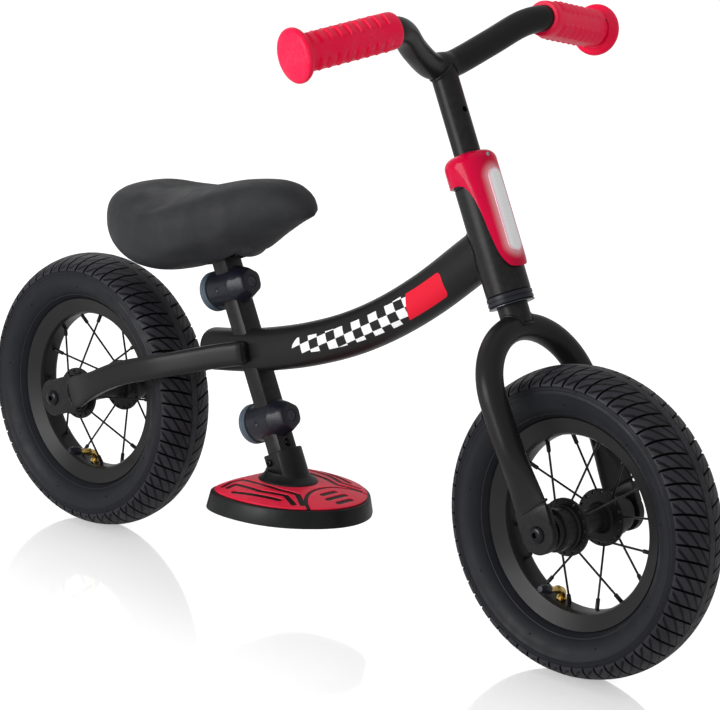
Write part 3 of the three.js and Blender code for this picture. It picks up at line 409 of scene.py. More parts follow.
class Value:
    """A number in a material. Each sign adds a math node and gives its result."""

    def __init__(self, made, socket):
        self.made, self.socket = made, socket

    def __add__(self, other):
        return self.made.math("ADD", self, other)

    def __sub__(self, other):
        return self.made.math("SUBTRACT", self, other)

    def __rsub__(self, other):
        return self.made.math("SUBTRACT", other, self)

    def __mul__(self, other):
        return self.made.math("MULTIPLY", self, other)

    def __truediv__(self, other):
        return self.made.math("DIVIDE", self, other)

    def __pow__(self, other):
        return self.made.math("POWER", self, other)

    def __lt__(self, other):
        return self.made.math("LESS_THAN", self, other)

    def __gt__(self, other):
        return self.made.math("GREATER_THAN", self, other)

    def __or__(self, other):
        return self.made.math("MAXIMUM", self, other)

    def __abs__(self):
        return self.made.math("ABSOLUTE", self)


class Finish:
    """A material being built: short names for its nodes and links."""

    def __init__(self, name, **sockets):
        self.material = bpy.data.materials.new(name)
        self.material.use_nodes = True
        self.tree = self.material.node_tree
        self.shader = self.tree.nodes["Principled BSDF"]
        for key, value in sockets.items():
            self.set(key.replace("_", " ").title().replace("Ior", "IOR"), value)
        self.coords = self.node("ShaderNodeTexCoord")

    def node(self, kind, **settings):
        made = self.tree.nodes.new(kind)
        for key, value in settings.items():
            setattr(made, key, value)
        return made

    def put(self, value, socket):
        """Links or sets one input."""
        if isinstance(value, Value):
            value = value.socket
        if isinstance(value, bpy.types.NodeSocket):
            self.tree.links.new(value, socket)
        else:
            socket.default_value = value

    def fill(self, sockets, *values):
        for socket, value in zip(sockets, values):
            self.put(value, socket)

    def set(self, socket, value):
        self.put(value, self.shader.inputs[socket])

    def math(self, operation, *values, clamp=False):
        made = self.node("ShaderNodeMath", operation=operation, use_clamp=clamp)
        self.fill(made.inputs, *values)
        return Value(self, made.outputs[0])

    def split(self, coords):
        made = self.node("ShaderNodeSeparateXYZ")
        self.put(self.coords.outputs[coords], made.inputs[0])
        return [Value(self, out) for out in made.outputs]

    def noise(self, scale, detail=3.0, roughness=0.5, stretch=(1, 1, 1)):
        """Noise in object coordinates, features about 1/scale metres."""
        mapping = self.node("ShaderNodeMapping")
        self.put(self.coords.outputs["Object"], mapping.inputs["Vector"])
        mapping.inputs["Scale"].default_value = stretch
        made = self.node("ShaderNodeTexNoise")
        self.put(mapping.outputs[0], made.inputs["Vector"])
        for key, value in (("Scale", scale), ("Detail", detail), ("Roughness", roughness)):
            made.inputs[key].default_value = value
        return Value(self, made.outputs["Fac"])

    def ramp(self, value, low, high, out_low=0.0, out_high=1.0, steep="LINEAR"):
        made = self.node("ShaderNodeMapRange", interpolation_type=steep)
        self.fill(made.inputs, value, low, high, out_low, out_high)
        return Value(self, made.outputs[0])

    def uneven(self, scale, detail, low, high, out_low=0.0, out_high=1.0, roughness=0.5):
        """Noise, its middle range stretched between two values."""
        return self.ramp(self.noise(scale, detail, roughness), low, high, out_low, out_high)

    def rough(self, scale, detail, low, high):
        """Roughness that wanders between two values."""
        self.set("Roughness", self.uneven(scale, detail, 0.3, 0.7, low, high))

    def blend(self, share, first, second):
        made = self.node("ShaderNodeMix", data_type="RGBA")
        self.put(share, made.inputs["Factor"])
        self.fill(made.inputs[6:8], first, second)
        return made.outputs[2]

    def bump(self, height, strength, distance):
        made = self.node("ShaderNodeBump")
        made.inputs["Strength"].default_value = strength
        made.inputs["Distance"].default_value = distance
        self.put(height, made.inputs["Height"])
        self.set("Normal", made.outputs[0])


def coat_tint(made, base):
    """Powder coat's colour, faintly mottled."""
    return made.blend(made.uneven(14, 4, 0.35, 0.65), base, dimmed(base, 1.2))


def powder_coat(name, base):
    """Satin powder-coated tube: fine orange peel, slightly uneven gloss, rubbed edges."""
    made = Finish(name, specular_ior_level=0.17)
    tint = coat_tint(made, base)
    point = made.node("ShaderNodeNewGeometry").outputs["Pointiness"]
    rubbed = made.ramp(point, 0.515, 0.56) * made.uneven(240, 3, 0.45, 0.62, 0, 0.25)
    made.set("Base Color", made.blend(rubbed, tint, colour("#2f2d2c")))
    made.rough(35, 5, 0.3, 0.36)
    made.bump(made.noise(1500, 2), 0.04, 0.0002)
    return made.material


def plastic(name, base, low, high, grain=900, gloss=0.28):
    """Injection-moulded plastic, still open: fine spark texture and faint flow marks."""
    made = Finish(name, specular_ior_level=gloss)
    flow = made.ramp(made.noise(22, 3, stretch=(1, 1, 2.5)), 0.3, 0.7)
    made.set("Base Color", made.blend(flow, base, dimmed(base, 1.18)))
    made.rough(60, 4, low, high)
    made.bump(made.noise(grain, 3), 0.08, 0.0003)
    return made


def moulded_plastic(*look):
    return plastic(*look).material


def soft_rubber(name, base, dusty, low, high):
    """Matte rubber with a faint bloom in its pores."""
    made = Finish(name, specular_ior_level=0.2)
    bloom = made.uneven(45, 6, 0.42, 0.75, roughness=0.6) * made.uneven(700, 2, 0.4, 0.7)
    made.set("Base Color", made.blend(bloom, base, colour(dusty)))
    made.rough(90, 4, low, high)
    made.bump(made.noise(1100, 4), 0.16, 0.0004)
    return made.material


def turned_metal(name, base, rough, stretch=(1, 1, 30), scale=160):
    """Bare metal with fine tool lines across one direction."""
    made = Finish(name, metallic=1.0)
    base = colour(base) if isinstance(base, str) else base
    lines = made.noise(scale, 3, 0.6, stretch)
    made.set("Base Color", made.blend(made.ramp(lines, 0.3, 0.7), base, dimmed(base, 0.72)))
    made.set("Roughness", made.ramp(lines, 0.3, 0.7, rough, rough + 0.14))
    made.bump(lines, 0.12, 0.0002)
    return made.material


# ---------------------------------------------------------------------------
# Sizes and colours a user would change
# ---------------------------------------------------------------------------


def length(name, description, default):
    return FloatProperty(name=name, description=description, default=default, min=0.0,
                         unit="LENGTH", precision=4)


def factor(name, description, default):
    return FloatProperty(name=name, description=description, default=default, min=0.0, max=1.0,
                         subtype="FACTOR")


def shade(name, description, hex_code):
    return FloatVectorProperty(name=name, description=description, subtype="COLOR", size=4,
                               min=0.0, max=1.0, default=colour(hex_code))


class BikeWheelSettings(bpy.types.PropertyGroup):
    tread_pitches: IntProperty(
        name="Tread pitches", description="Blocks round each shoulder of a tyre", default=62)
    groove_depth: length("Groove depth", "Depth of the slits in the shoulder blocks", 0.0016)
    spoke_radius: length("Spoke radius", "Radius of a spoke's wire", 0.00095)
    nipple_radius: length("Nipple radius", "Radius of the nipple at the rim", 0.00185)
    tyre_colour: shade("Tyre", "Rubber of the tyres", "#18191e")
    brass_colour: shade("Valve", "Brass of the valves", "#dcbc6c")


class BikeFrameSettings(bpy.types.PropertyGroup):
    paint: shade("Paint", "Powder coat of the frame, fork, handlebar and rims", "#1b1a1a")
    chequer_size: length("Chequer", "Side of one square of the chequered band", 0.0072)
    patch_colour: shade("Patch", "Patch at the end of the chequered band", "#e01230")


class BikePlasticSettings(bpy.types.PropertyGroup):
    black: shade("Black plastic", "Clamp barrels, cups and small mouldings", "#191a23")
    knob: shade("Knobs", "Clamp knobs and their front plugs", "#4d5863")
    red: shade("Red plastic", "Head cover", "#c40036")
    panel: shade("Panel", "Long panel on the head cover", "#fcfcfd")


class BikeContactSettings(bpy.types.PropertyGroup):
    grip_ribs: IntProperty(name="Grip ribs", description="Ribs along a grip", default=8)
    grip_colour: shade("Grips", "Rubber of the grips", "#fb0544")
    pad_colour: shade("Foot pads", "Rubber of the footrest's pads", "#e2203f")
    saddle_colour: shade("Saddle", "Vinyl of the saddle", "#343537")
    saddle_fill: factor("Padding", "How full the saddle is", 0.85)


class BikeStageSettings(bpy.types.PropertyGroup):
    floor_gloss: factor("Floor gloss", "Strength of the floor's mirror", 0.3)
    world_strength: FloatProperty(name="Room light", description="Light from the white room",
                                  default=0.58, min=0.0)


# ---------------------------------------------------------------------------
# Wheels
# ---------------------------------------------------------------------------

SPOKES = 16
FLANGE_OFFSET = {"front": 0.0223, "rear": 0.027}
SPOKE_TURN = {"front": 14.0, "rear": 24.5}
VALVE_TURN = {"front": 105.0, "rear": 94.5}

# Half of a tyre's outer profile in millimetres, from the bead to the middle of the tread.
TYRE_HALF = [
    (79.4, 5.6), (79.4, 9.3), (86.2, 12.8), (86.6, 14.6), (88.6, 17.4), (90.2, 19.9), (91.0, 20.1),
    (91.8, 21.3), (94, 23.4), (97, 25.6), (100, 27.1), (103.5, 28.2), (106.6, 28.45),
    (107.4, 28.9), (108.4, 28.4), (109.6, 28.1), (110.2, 28.55), (111.2, 28.0), (112.3, 27.5),
]
TREAD_HALF = [(113.2, 28.1), (114.6, 27.9), (117.2, 26.2), (119.6, 23.6), (121.9, 20.0),
              (123.7, 16.2), (125.1, 12.0), (126.1, 7.6), (126.55, 5.2), (126.8, 3.0), (126.9, 0)]
TYRE_INSIDE = [(110, 24.6), (121, 12), (123, 0)]
TREAD_FOOT = 0.1132                # radius where the tread's blocks begin
TREAD_SWEEP = 0.75                 # pitches that a crossing groove sweeps on its way inward
SLIT_COLUMNS = 12                  # columns of faces in one pitch
TREAD_EDGE = 0.0355                # along the tread's curve from its middle to the shoulder


def mirrored(half):
    """A profile's half in millimetres, with its mirror image after it."""
    return mm([*half, *[(r, -h) for r, h in reversed(half)]])


def tyre_mesh(settings):
    """A tyre: one pitch of its profile spun and slit at the shoulders, then spun on round."""
    half = TYRE_HALF + TREAD_HALF
    outline = [*half, *[(r, -h) for r, h in reversed(half[:-1])], (86, -10.5),
               *[(r, -h) for r, h in TYRE_INSIDE], *reversed(TYRE_INSIDE[:-1]), (86, 10.5)]
    drawn(mm(outline))
    pitch = 2 * math.pi / settings.tread_pitches
    spin(SLIT_COLUMNS, pitch)
    cut_cross_grooves(bpy.context.object, pitch, settings.groove_depth)
    spin(settings.tread_pitches - 1, 2 * math.pi - pitch, dupli=True)
    merge(2e-6)
    face_outward()
    return named("tyre", across_place())


def cut_cross_grooves(obj, pitch, depth):
    """Sweeps the tread's columns of faces round as they go inward, and sinks one a side."""
    tread = np.array(TREAD_HALF) * MM
    runs = np.cumsum(np.hypot(*np.diff(tread[::-1], axis=0).T))
    reach = [*runs[::-1], 0.0]
    mesh = bmesh.from_edit_mesh(obj.data)
    for vertex in mesh.verts:
        radius, height = math.hypot(vertex.co.x, vertex.co.y), vertex.co.z
        away = np.hypot(tread[:, 0] - radius, tread[:, 1] - abs(height))
        nearest = int(np.argmin(away))
        if away[nearest] > 2e-5:
            continue
        angle = math.atan2(vertex.co.y, vertex.co.x)
        column = round(abs(angle) / pitch * SLIT_COLUMNS)
        if column == (1 if height < 0 else 1 + SLIT_COLUMNS // 2) and reach[nearest] > 0.005:
            aside = min(0.95, (height / 0.0295) ** 2)
            radius -= depth * math.sqrt(1 - aside * aside)
            height -= math.copysign(depth * aside, height)
        inward = max(0.0, 1 - reach[nearest] / TREAD_EDGE)
        angle += pitch * TREAD_SWEEP * inward ** 1.6
        vertex.co = (radius * math.cos(angle), radius * math.sin(angle), height)
    bmesh.update_edit_mesh(obj.data)


def vent_nubs():
    """Rows of little moulding nubs on both sidewalls."""
    nubs = []
    for side, _ in SIDES:
        for radius, reach, count in ((0.0985, 0.0266, 9), (0.1118, 0.0278, 7)):
            for angle in turns(count, 0.3 * side):
                angle += radius * 40
                deselect()
                bpy.ops.mesh.primitive_cone_add(
                    vertices=8, radius1=0.0007, radius2=0.0004, depth=0.0014,
                    location=(radius * math.cos(angle), side * reach, radius * math.sin(angle)),
                    rotation=(-side * math.pi / 2, 0, 0))
                nubs.append(named("nub"))
    return nubs


def tread_uv(obj):
    """UV of a tyre about its own axle: pitches round, and metres across from the middle."""
    half = [Vector(point) for point in mm(reversed(TYRE_HALF + TREAD_HALF))]
    runs = np.cumsum([0] + [(b - a).length for a, b in zip(half, half[1:])])
    heights = [p.y for p in half]
    reach = int(np.argmax(heights)) + 1

    def where(point, middle):
        turn = math.atan2(middle.z, middle.x)
        own = math.atan2(point.z, point.x)
        own += 2 * math.pi * round((turn - own) / (2 * math.pi))
        across = float(np.interp(abs(point.y), heights[:reach], runs[:reach]))
        if math.hypot(point.x, point.z) < TREAD_FOOT:
            across = TREAD_EDGE + 0.01
        return own / (2 * math.pi), math.copysign(across, point.y) + 0.5

    set_uv(obj, where)


def tread_finish(settings):
    """Tyre rubber, with the tread's sweeping and crossing grooves cut in by its UV map as bumps,
    and painted near black as painted shade.
    """
    made = Finish("tyre_rubber", specular_ior_level=0.2)
    around, across, _ = made.split("UV")
    metres = across - 0.5
    distance = abs(metres)
    pitches = around * float(settings.tread_pitches) + (metres > 0.0) * 0.5 + -1 / SLIT_COLUMNS
    share = distance / TREAD_EDGE
    inward = made.math("SUBTRACT", 1.0, share, clamp=True)

    def line(position, width):
        """1 on a groove where position comes near a whole number, 0 between."""
        near = made.math("PINGPONG", position, 0.5)
        return made.ramp(near, width, width * 0.5, steep="SMOOTHSTEP")

    bowed = pitches + inward ** 1.6 * TREAD_SWEEP
    transverse = line(bowed, 0.085)
    diagonal = line(bowed + inward ** 1.15 * 3.4, 0.16) * (share < 0.88)
    zigzag = made.math("PINGPONG", pitches * 2.0, 0.5) * 0.0018 + 0.0032
    middle = made.ramp(abs(distance - zigzag), 0.0008, 0.0004)
    grooves = (middle | (transverse | diagonal) * (distance > zigzag)) * (distance < TREAD_EDGE)
    dust = made.uneven(50, 5, 0.4, 0.7, roughness=0.6) * 0.7
    side = made.blend(dust, settings.tyre_colour, colour("#1d1e23"))
    top = made.blend(dust, colour("#25252a"), colour("#38383f"))
    rubber = made.blend(distance < TREAD_EDGE + 0.001, side, top)
    # Painted shade: the grooves are coloured near black, because the bump alone casts no shade in
    # them.
    made.set("Base Color", made.blend(grooves, rubber, colour("#020203")))
    made.rough(80, 4, 0.42, 0.58)
    made.bump(made.noise(1400, 3) * 0.06 - grooves, 1.0, 0.0016)
    return made.material


RIM_HALF = [(71.5, 6.2), (71.7, 7.2), (73.4, 9.9), (85.2, 14.9), (85.9, 15.2), (86.2, 14.9),
            (86.2, 13.4), (85.9, 13.2), (79.0, 9.8)]


def hub_profile(offset):
    """Half a hub: flange, stepped boss and bearing seat, mirrored into the whole."""
    o = offset / MM
    return mirrored([
        (7.2, 38.6), (13.4, 38.6), (13.4, 47), (14.6, 47), (15.1, 46.5), (15.1, 40.6),
        (16.9, 40.2), (17.5, 39.6), (17.5, o + 5.2), (18.6, o + 4.2), (18.6, o + 1.6),
        (23.0, o + 1.5), (23.5, o + 1.0), (23.5, o - 1.0), (23.0, o - 1.5),
        (13.2, o - 1.6), (11.6, o - 2.8), (10.1, o - 6), (9.5, o - 8.5)])


def spoke_and_nipple(settings, offset):
    """One straight spoke and its nipple, from a flange up to the rim."""
    start = Vector((0.0195, 0, offset))
    along = Vector((0.0712, 0, 0.0015)) - start
    place = axis_place(start, along, (0, 1, 0))
    reach = along.length
    wire = rod("wire", settings.spoke_radius, 0, reach - 0.004, place, 10)
    nipple = rod("nipple", settings.nipple_radius, reach - 0.0092, reach, place, 8)
    bevel(nipple, 0.0005)
    head = rod("head", 0.0019, -0.0004, 0.0009,
               axis_place(start + Vector((0, 0, 0.0015)), (0, 0, 1), (1, 0, 0)), 12)
    return joined(wire, nipple, head)


def hub_mesh(settings, name):
    """Hub shell with drilled flanges, its spokes leaning left and right by turns."""
    offset = FLANGE_OFFSET[name]
    shift = SPOKE_TURN[name] / 360 * SPOKES
    shell = turned("shell", hub_profile(offset), across_place(), 72)
    holes = [rod("hole", 0.0014, -0.04, 0.04,
                 across_place((0.0206 * math.cos(a), 0, 0.0206 * math.sin(a))), 10)
             for a in turns(SPOKES, shift + 0.5)]
    carve(shell, joined(*holes))
    pair = [spoke_and_nipple(settings, side * offset) for side, _ in SIDES]
    spokes = [copied(pair[k % 2], "spoke", Matrix.Rotation(-angle, 4, "Y") @ across_place())
              for k, angle in enumerate(turns(SPOKES, shift))]
    for spare in pair:
        bpy.data.objects.remove(spare)
    return joined(shell, *spokes)


def valve_piece():
    """A bent valve: round brass elbow with a knurled neck and its lock ring."""
    points = spline([(0, 0, 0.0750), (0, 0, 0.0663), (0, -0.0035, 0.0618), (0, -0.0105, 0.0597),
                     (0, -0.0208, 0.0576)], 22)

    def size(t):
        ring = 0.0006 if 0.55 < t < 0.66 or t > 0.9 else 0.0
        radius = 0.0030 + ring - 0.0004 * (t > 0.7)
        return radius, radius

    elbow = swept("elbow", rings_along(points, (1, 0, 0), size, superellipse(20, 1)))
    collar = turned("collar", [(0.0031, 0), (0.0046, 0), (0.0046, 0.0016), (0.0042, 0.002),
                               (0.0031, 0.002)], Matrix.Translation((0, 0, 0.0686)), 6)
    return joined(elbow, collar)


def cap_piece():
    """Ribbed dust cap, closed and slightly tapered."""
    profile = [(0, 0.0003), (0.0038, 0.0003), (0.0040, 0.0008), (0.0038, 0.0088),
               (0.0030, 0.0102), (0.0024, 0.0128), (0, 0.0130)]
    lean = math.atan2(0.004, 0.016)
    seat = axis_place((0, -0.021, 0.0575), (0, -math.cos(lean), -math.sin(lean)), (1, 0, 0))
    ribs = [block("rib", (-0.00035, 0.0036, 0.0012), (0.00035, 0.00405, 0.0082),
                  seat @ Matrix.Rotation(angle, 4, "Z")) for angle in turns(12)]
    return joined(turned("cap", profile, seat, 24), *ribs)


def socket_bolt(radius, height, shank, reach, place, socket=0.0026):
    """Domed button head with a six-sided socket, on its shank. Local Z points out of the head."""
    head = turned("bolt", [
        (0, -reach), (shank, -reach), (shank, 0), (radius * 0.97, 0), (radius, height * 0.18),
        (radius * 0.95, height * 0.55), (radius * 0.8, height * 0.86), (radius * 0.6, height),
        (0, height)], None, 48)
    depth = min(0.0022, height * 0.8)
    return moved(carve(head, rod("key", socket, height - depth, height + 0.002, None, 6)), place)


class BikeOperator:
    """What the operators share: each builds its pieces from the scene's settings."""

    def execute(self, context):
        self.build(context.scene)
        return {"FINISHED"}


class BIKE_OT_tyres(BikeOperator, bpy.types.Operator):
    """Both tyres: slit shoulder blocks, ribbed sidewalls, vent nubs and grooved tread"""

    bl_idname = "bike.tyres"
    bl_label = "Tyres"

    def build(self, scene):
        master = joined(tyre_mesh(scene.bike_wheels), *vent_nubs())
        tread_uv(master)
        finish = tread_finish(scene.bike_wheels)
        for name, centre in WHEELS.items():
            tyre = copied(master, "tyre", Matrix.Translation(centre))
            dress(tyre, f"{name}_tyre_rubber", f"{name}_wheel", finish, "tyre_rubber",
                  f"{name}_tyre", angle=28)
        bpy.data.objects.remove(master)


class BIKE_OT_rims(BikeOperator, bpy.types.Operator):
    """Both deep painted rims, drilled for their valves"""

    bl_idname = "bike.rims"
    bl_label = "Rims"

    def build(self, scene):
        finish = powder_coat("rim_paint", dimmed(scene.bike_frame.paint, 1.5))
        for name, centre in WHEELS.items():
            rim = turned("rim", mirrored(RIM_HALF), across_place(), 160)
            turn = math.radians(VALVE_TURN[name])
            out = (math.cos(turn), 0, -math.sin(turn))
            carve(rim, rod("drill", 0.0036, 0.06, 0.085, axis_place((0, 0, 0), out, (0, 1, 0)), 24))
            dress(moved(rim, Matrix.Translation(centre)), f"{name}_rim_band", f"{name}_wheel",
                  finish, "black_paint", f"{name}_rim", angle=32)


class BIKE_OT_hubs(BikeOperator, bpy.types.Operator):
    """Both hubs with drilled flanges, sixteen spokes and their nipples"""

    bl_idname = "bike.hubs"
    bl_label = "Hubs and spokes"

    def build(self, scene):
        finish = powder_coat("hub_paint", scene.bike_frame.paint)
        for name, centre in WHEELS.items():
            hub = moved(hub_mesh(scene.bike_wheels, name), Matrix.Translation(centre))
            dress(hub, f"{name}_hub_with_spokes", f"{name}_wheel", finish, "black_paint",
                  f"{name}_hub_and_spokes")


class BIKE_OT_valves(BikeOperator, bpy.types.Operator):
    """Both bent brass valves and their caps"""

    bl_idname = "bike.valves"
    bl_label = "Valves"

    def build(self, scene):
        brass = turned_metal("valve_brass", scene.bike_wheels.brass_colour, 0.2)
        black = moulded_plastic("valve_cap_black", scene.bike_plastic.black, 0.3, 0.42)
        for name, centre in WHEELS.items():
            turn = math.radians(90 + VALVE_TURN[name])
            place = Matrix.Translation(centre) @ Matrix.Rotation(turn, 4, "Y")
            dress(moved(valve_piece(), place), f"{name}_valve_elbow", f"{name}_wheel", brass,
                  "valve_brass", f"{name}_valve")
            dress(moved(cap_piece(), place), f"{name}_dust_cap", f"{name}_wheel", black,
                  "black_plastic", f"{name}_valve_cap")


class BIKE_OT_axles(BikeOperator, bpy.types.Operator):
    """Socket bolts at the four dropouts, and finishes of the axles and bearings"""

    bl_idname = "bike.axles"
    bl_label = "Axles"

    def build(self, scene):
        black = turned_metal("bolt_black", "#303033", 0.14)
        steel = turned_metal("axle_steel", "#8d9094", 0.24, (1, 30, 1))
        for name, centre in WHEELS.items():
            body = "fork" if name == "front" else "frame"
            for side, word in SIDES:
                seat = axis_place(centre + Vector((0, side * 0.0583, 0)), (0, side, 0), (1, 0, 0))
                dress(socket_bolt(0.007, 0.0029, 0.004, 0.0185, seat),
                      f"{name}_{word}_socket_bolt", body, black, "dark_steel",
                      f"{name}_axle_bolt_{word}")
                paint_node(f"{name}_bearing_{word}", steel)
            paint_node(f"{name}_axle", steel)


# ---------------------------------------------------------------------------
# Frame
# ---------------------------------------------------------------------------

HEAD_MIDDLE = STEERING @ Vector((0, 0, 0.2381))
BEAM_LINE = [(-0.178, -0.022), (-0.043, 0.015), (0.097, 0.07), (0.254, 0.15), (0.429, 0.269),
             (0.597, 0.426), (0.759, 0.62), (0.922, 0.855), (1.03, 1.01)]
BEAM_PATH = spline([(mix(SEAT_MIDDLE.x, HEAD_MIDDLE.x, a), 0, mix(SEAT_MIDDLE.z, HEAD_MIDDLE.z, b))
                    for a, b in BEAM_LINE], 90)
BEAM_HALF_WIDTH = 0.0155
BEAM_END = 0.013
STAY_LINE = [(-0.042, -0.17, -0.084), (0.078, 0.16, 0.003), (0.209, 0.565, 0.119),
             (0.349, 0.903, 0.243), (0.56, 1.064, 0.432), (0.76, 1.064, 0.705), (0.881, 1, 0.872),
             (1, 1, 1)]
DROPOUT_INNER = 0.051
DROPOUT_WALL = 0.007
DROPOUT_MIDDLE = DROPOUT_INNER + DROPOUT_WALL / 2
DROPOUT_RADIUS = 0.0165

# Sections of the seat tube and its posts: half width, half depth and corner.
POST = (0.0095, 0.011, 0.0042)
POST_HOLE = (0.0098, 0.0113, 0.0042)
TUBE_BORE = (0.0080, 0.0095, 0.003)
STEM = (0.0077, 0.0092, 0.0026)


def beam_mesh():
    """The curved oval beam, closed by a rounded rear end."""
    start, ahead = BEAM_PATH[0], (BEAM_PATH[1] - BEAM_PATH[0]).normalized()
    leans = [math.radians(90 * (1 - k / 8.6)) for k in range(1, 9)]
    path = [start - ahead * (BEAM_END * math.sin(turn)) for turn in leans] + BEAM_PATH
    scales = [math.cos(turn) for turn in leans] + [1.0] * len(BEAM_PATH)
    last = len(path) - 1

    def size(t):
        index = round(t * last)
        along = max(0, index - len(leans)) / (last - len(leans))
        return (BEAM_HALF_WIDTH * scales[index], mix(0.0190, 0.0200, along * along) * scales[index])

    beam = swept("beam", rings_along(path, (0, 1, 0), size, superellipse(48, 0.88)))
    # Open to the head tube's bore, so that the stem slides past its end.
    return carve(beam, rod("bore", 0.0170, 0.16, 0.32, STEERING, 64),
                 block("ahead", (0, -0.03, 0.16), (0.06, 0.03, 0.32), STEERING))


def beam_uv(obj):
    """U is the way along the beam and V the height above its middle, both in metres."""
    line = np.array([(p.x, p.z) for p in BEAM_PATH])
    runs = np.concatenate([[0], np.cumsum(np.linalg.norm(np.diff(line, axis=0), axis=1))])

    def where(point, _):
        away = line - (point.x, point.z)
        nearest = min(max(int(np.argmin((away ** 2).sum(1))), 1), len(line) - 2)
        along = line[nearest + 1] - line[nearest - 1]
        along /= np.linalg.norm(along)
        offset = np.array((point.x, point.z)) - line[nearest]
        return runs[nearest] + offset @ along, offset @ np.array((-along[1], along[0]))

    set_uv(obj, where)


def beam_finish(settings):
    """Powder coat with a chequered band and a plain patch printed along each side."""
    made = Finish("beam_paint", specular_ior_level=0.17)
    along, height, _ = made.split("UV")
    band_start, patch_corner = 0.121, 0.0045
    size = settings.chequer_size * 1.5
    middle = 0.0006 - abs(along - 0.2) ** 2.0 * 1.146
    row = made.math("FLOOR", (height - middle) / (size * 0.725))
    column = made.math("FLOOR", (along - band_start) / size)
    band = abs(made.math("MODULO", row + column, 2.0)) < 0.5
    low = -0.0064 - (along - band_start) * 0.057
    right = height * 0.427 + 0.2538
    left = (height + 0.0005 | 0.0) ** 1.6 * 18.0 + 0.1107
    for limit in (height < 0.0074, height > low, along < right, along > left):
        band = band * limit
    x = abs(along - height * 0.22 - 0.2655) - (0.0345 - patch_corner)
    y = abs(height + 0.0031 + (along - 0.25) * 0.028) - (0.0103 - patch_corner)
    corner = ((x | 0.0) ** 2.0 + (y | 0.0) ** 2.0) ** 0.5
    patch = (corner < patch_corner) * (along > right)
    paper = made.blend(made.uneven(400, 2, 0.3, 0.8), colour("#f4f4f4"), colour("#e4e4e6"))
    printed = made.blend(band, coat_tint(made, settings.paint), paper)
    made.set("Base Color", made.blend(patch, printed, settings.patch_colour))
    film = band | patch
    made.set("Roughness", made.uneven(35, 5, 0.3, 0.7, 0.3, 0.4) + film * 0.06)
    made.bump(made.noise(1500, 2) * 0.3 + film * 0.5, 0.12, 0.0002)
    return made.material


def beam_welds():
    """Fillets where the beam meets the head tube, on the head tube's rear."""
    local = STEERING.inverted()
    end, ahead = BEAM_PATH[-12], (BEAM_PATH[-10] - BEAM_PATH[-12]).normalized()
    across = Vector((0, 1, 0))
    up = ahead.cross(across)
    points, normals = [], []
    for angle in turns(120):
        start = end + across * (BEAM_HALF_WIDTH * math.cos(angle)) + up * (0.0199 * math.sin(angle))
        p, d = local @ start, local.to_3x3() @ ahead
        a = d.x * d.x + d.y * d.y
        b = p.x * d.x + p.y * d.y
        c = p.x * p.x + p.y * p.y - 0.0188 ** 2
        hit = p + d * ((-b - math.sqrt(max(b * b - a * c, 0))) / a)
        points.append(STEERING @ hit)
        normals.append((STEERING.to_3x3() @ Vector((hit.x, hit.y, 0))).normalized() - ahead)
    return weld_bead(points, normals)


def dropout(seat, tongue_place, reach, half, inset):
    """Round dropout and the square plate that runs back from it to its arm."""
    lug = turned("lug", [(0.0044, 0), (0.0157, 0), (0.0165, 0.0007), (0.0165, 0.0063),
                         (0.0157, 0.007), (0.0044, 0.007)], seat, 72)
    plate = block("plate", (0.0040, -half, inset), (reach, half, DROPOUT_WALL - inset),
                  tongue_place)
    bevel(plate, 0.0007)
    return lug, carve(plate, rod("clear", 0.0142, -0.01, 0.02, seat, 48))


def stay_mesh(side):
    """A flat-sided stay that bows round the tyre and ends in a round dropout."""
    axle = WHEELS["rear"]
    inner = BEAM_HALF_WIDTH + 0.0078
    path = spline([(mix(SEAT_MIDDLE.x, axle.x, back), side * mix(inner, DROPOUT_MIDDLE, out),
                    mix(SEAT_MIDDLE.z, axle.z, down)) for back, out, down in STAY_LINE], 84)

    def size(t):
        t = t * 75 / 84
        width = mix(0.015, DROPOUT_WALL, ease(t, 0.72, 0.92))
        height = mix(0.0215, 2 * DROPOUT_RADIUS, ease(t, 0.7, 0.97))
        front = math.sqrt(1 - (1 - min(1.0, t / 0.028)) ** 2)
        return width / 2 * mix(0.45, 1, front), height / 2 * mix(0.72, 1, front)

    arm = swept("arm", rings_along(path[:-9], (0, 1, 0), size, superellipse(48, 0.5)))
    corner = (axle.x, side * DROPOUT_INNER, axle.z)
    back = path[-1] - path[-10]
    back.y = 0
    place = axis_place(corner, (0, side, 0), -back)
    lug, tongue = dropout(axis_place(corner, (0, side, 0), (1, 0, 0)), place,
                          back.length + 0.004, 0.0163, 0.00005)
    loop = [Vector((back.length - 0.001 + 0.0012 * math.sin(a * 3), 0.0162 * math.cos(a),
                    0.0035 + 0.0037 * math.sin(a))) for a in turns(60)]
    normals = [place.to_3x3() @ Vector((0.3, math.cos(a), math.sin(a))) for a in turns(60)]
    bead = weld_bead([place @ point for point in loop], normals, 0.0011)
    return joined(arm, lug, tongue, bead)


class BIKE_OT_main_beam(BikeOperator, bpy.types.Operator):
    """The curved main beam with its chequered band, and its welds"""

    bl_idname = "bike.main_beam"
    bl_label = "Main beam"

    def build(self, scene):
        beam = beam_mesh()
        beam_uv(beam)
        dress(beam, "main_beam_tube", "frame", beam_finish(scene.bike_frame), "black_paint",
              "main_beam")
        dress(beam_welds(), "beam_weld", "frame", powder_coat("weld_paint", scene.bike_frame.paint),
              "black_paint")


class BIKE_OT_stays(BikeOperator, bpy.types.Operator):
    """Left and right rear stays with their dropouts and weld beads"""

    bl_idname = "bike.stays"
    bl_label = "Rear stays"

    def build(self, scene):
        finish = powder_coat("stay_paint", scene.bike_frame.paint)
        for side, word in SIDES:
            dress(stay_mesh(side), f"{word}_stay_arm", "frame", finish, "black_paint",
                  f"{word}_rear_stay")


def tube_profile(outer, inner, low, high, edge=0.0006):
    return [(inner, low), (outer - edge, low), (outer, low + edge), (outer, high - edge),
            (outer - edge, high), (inner, high)]


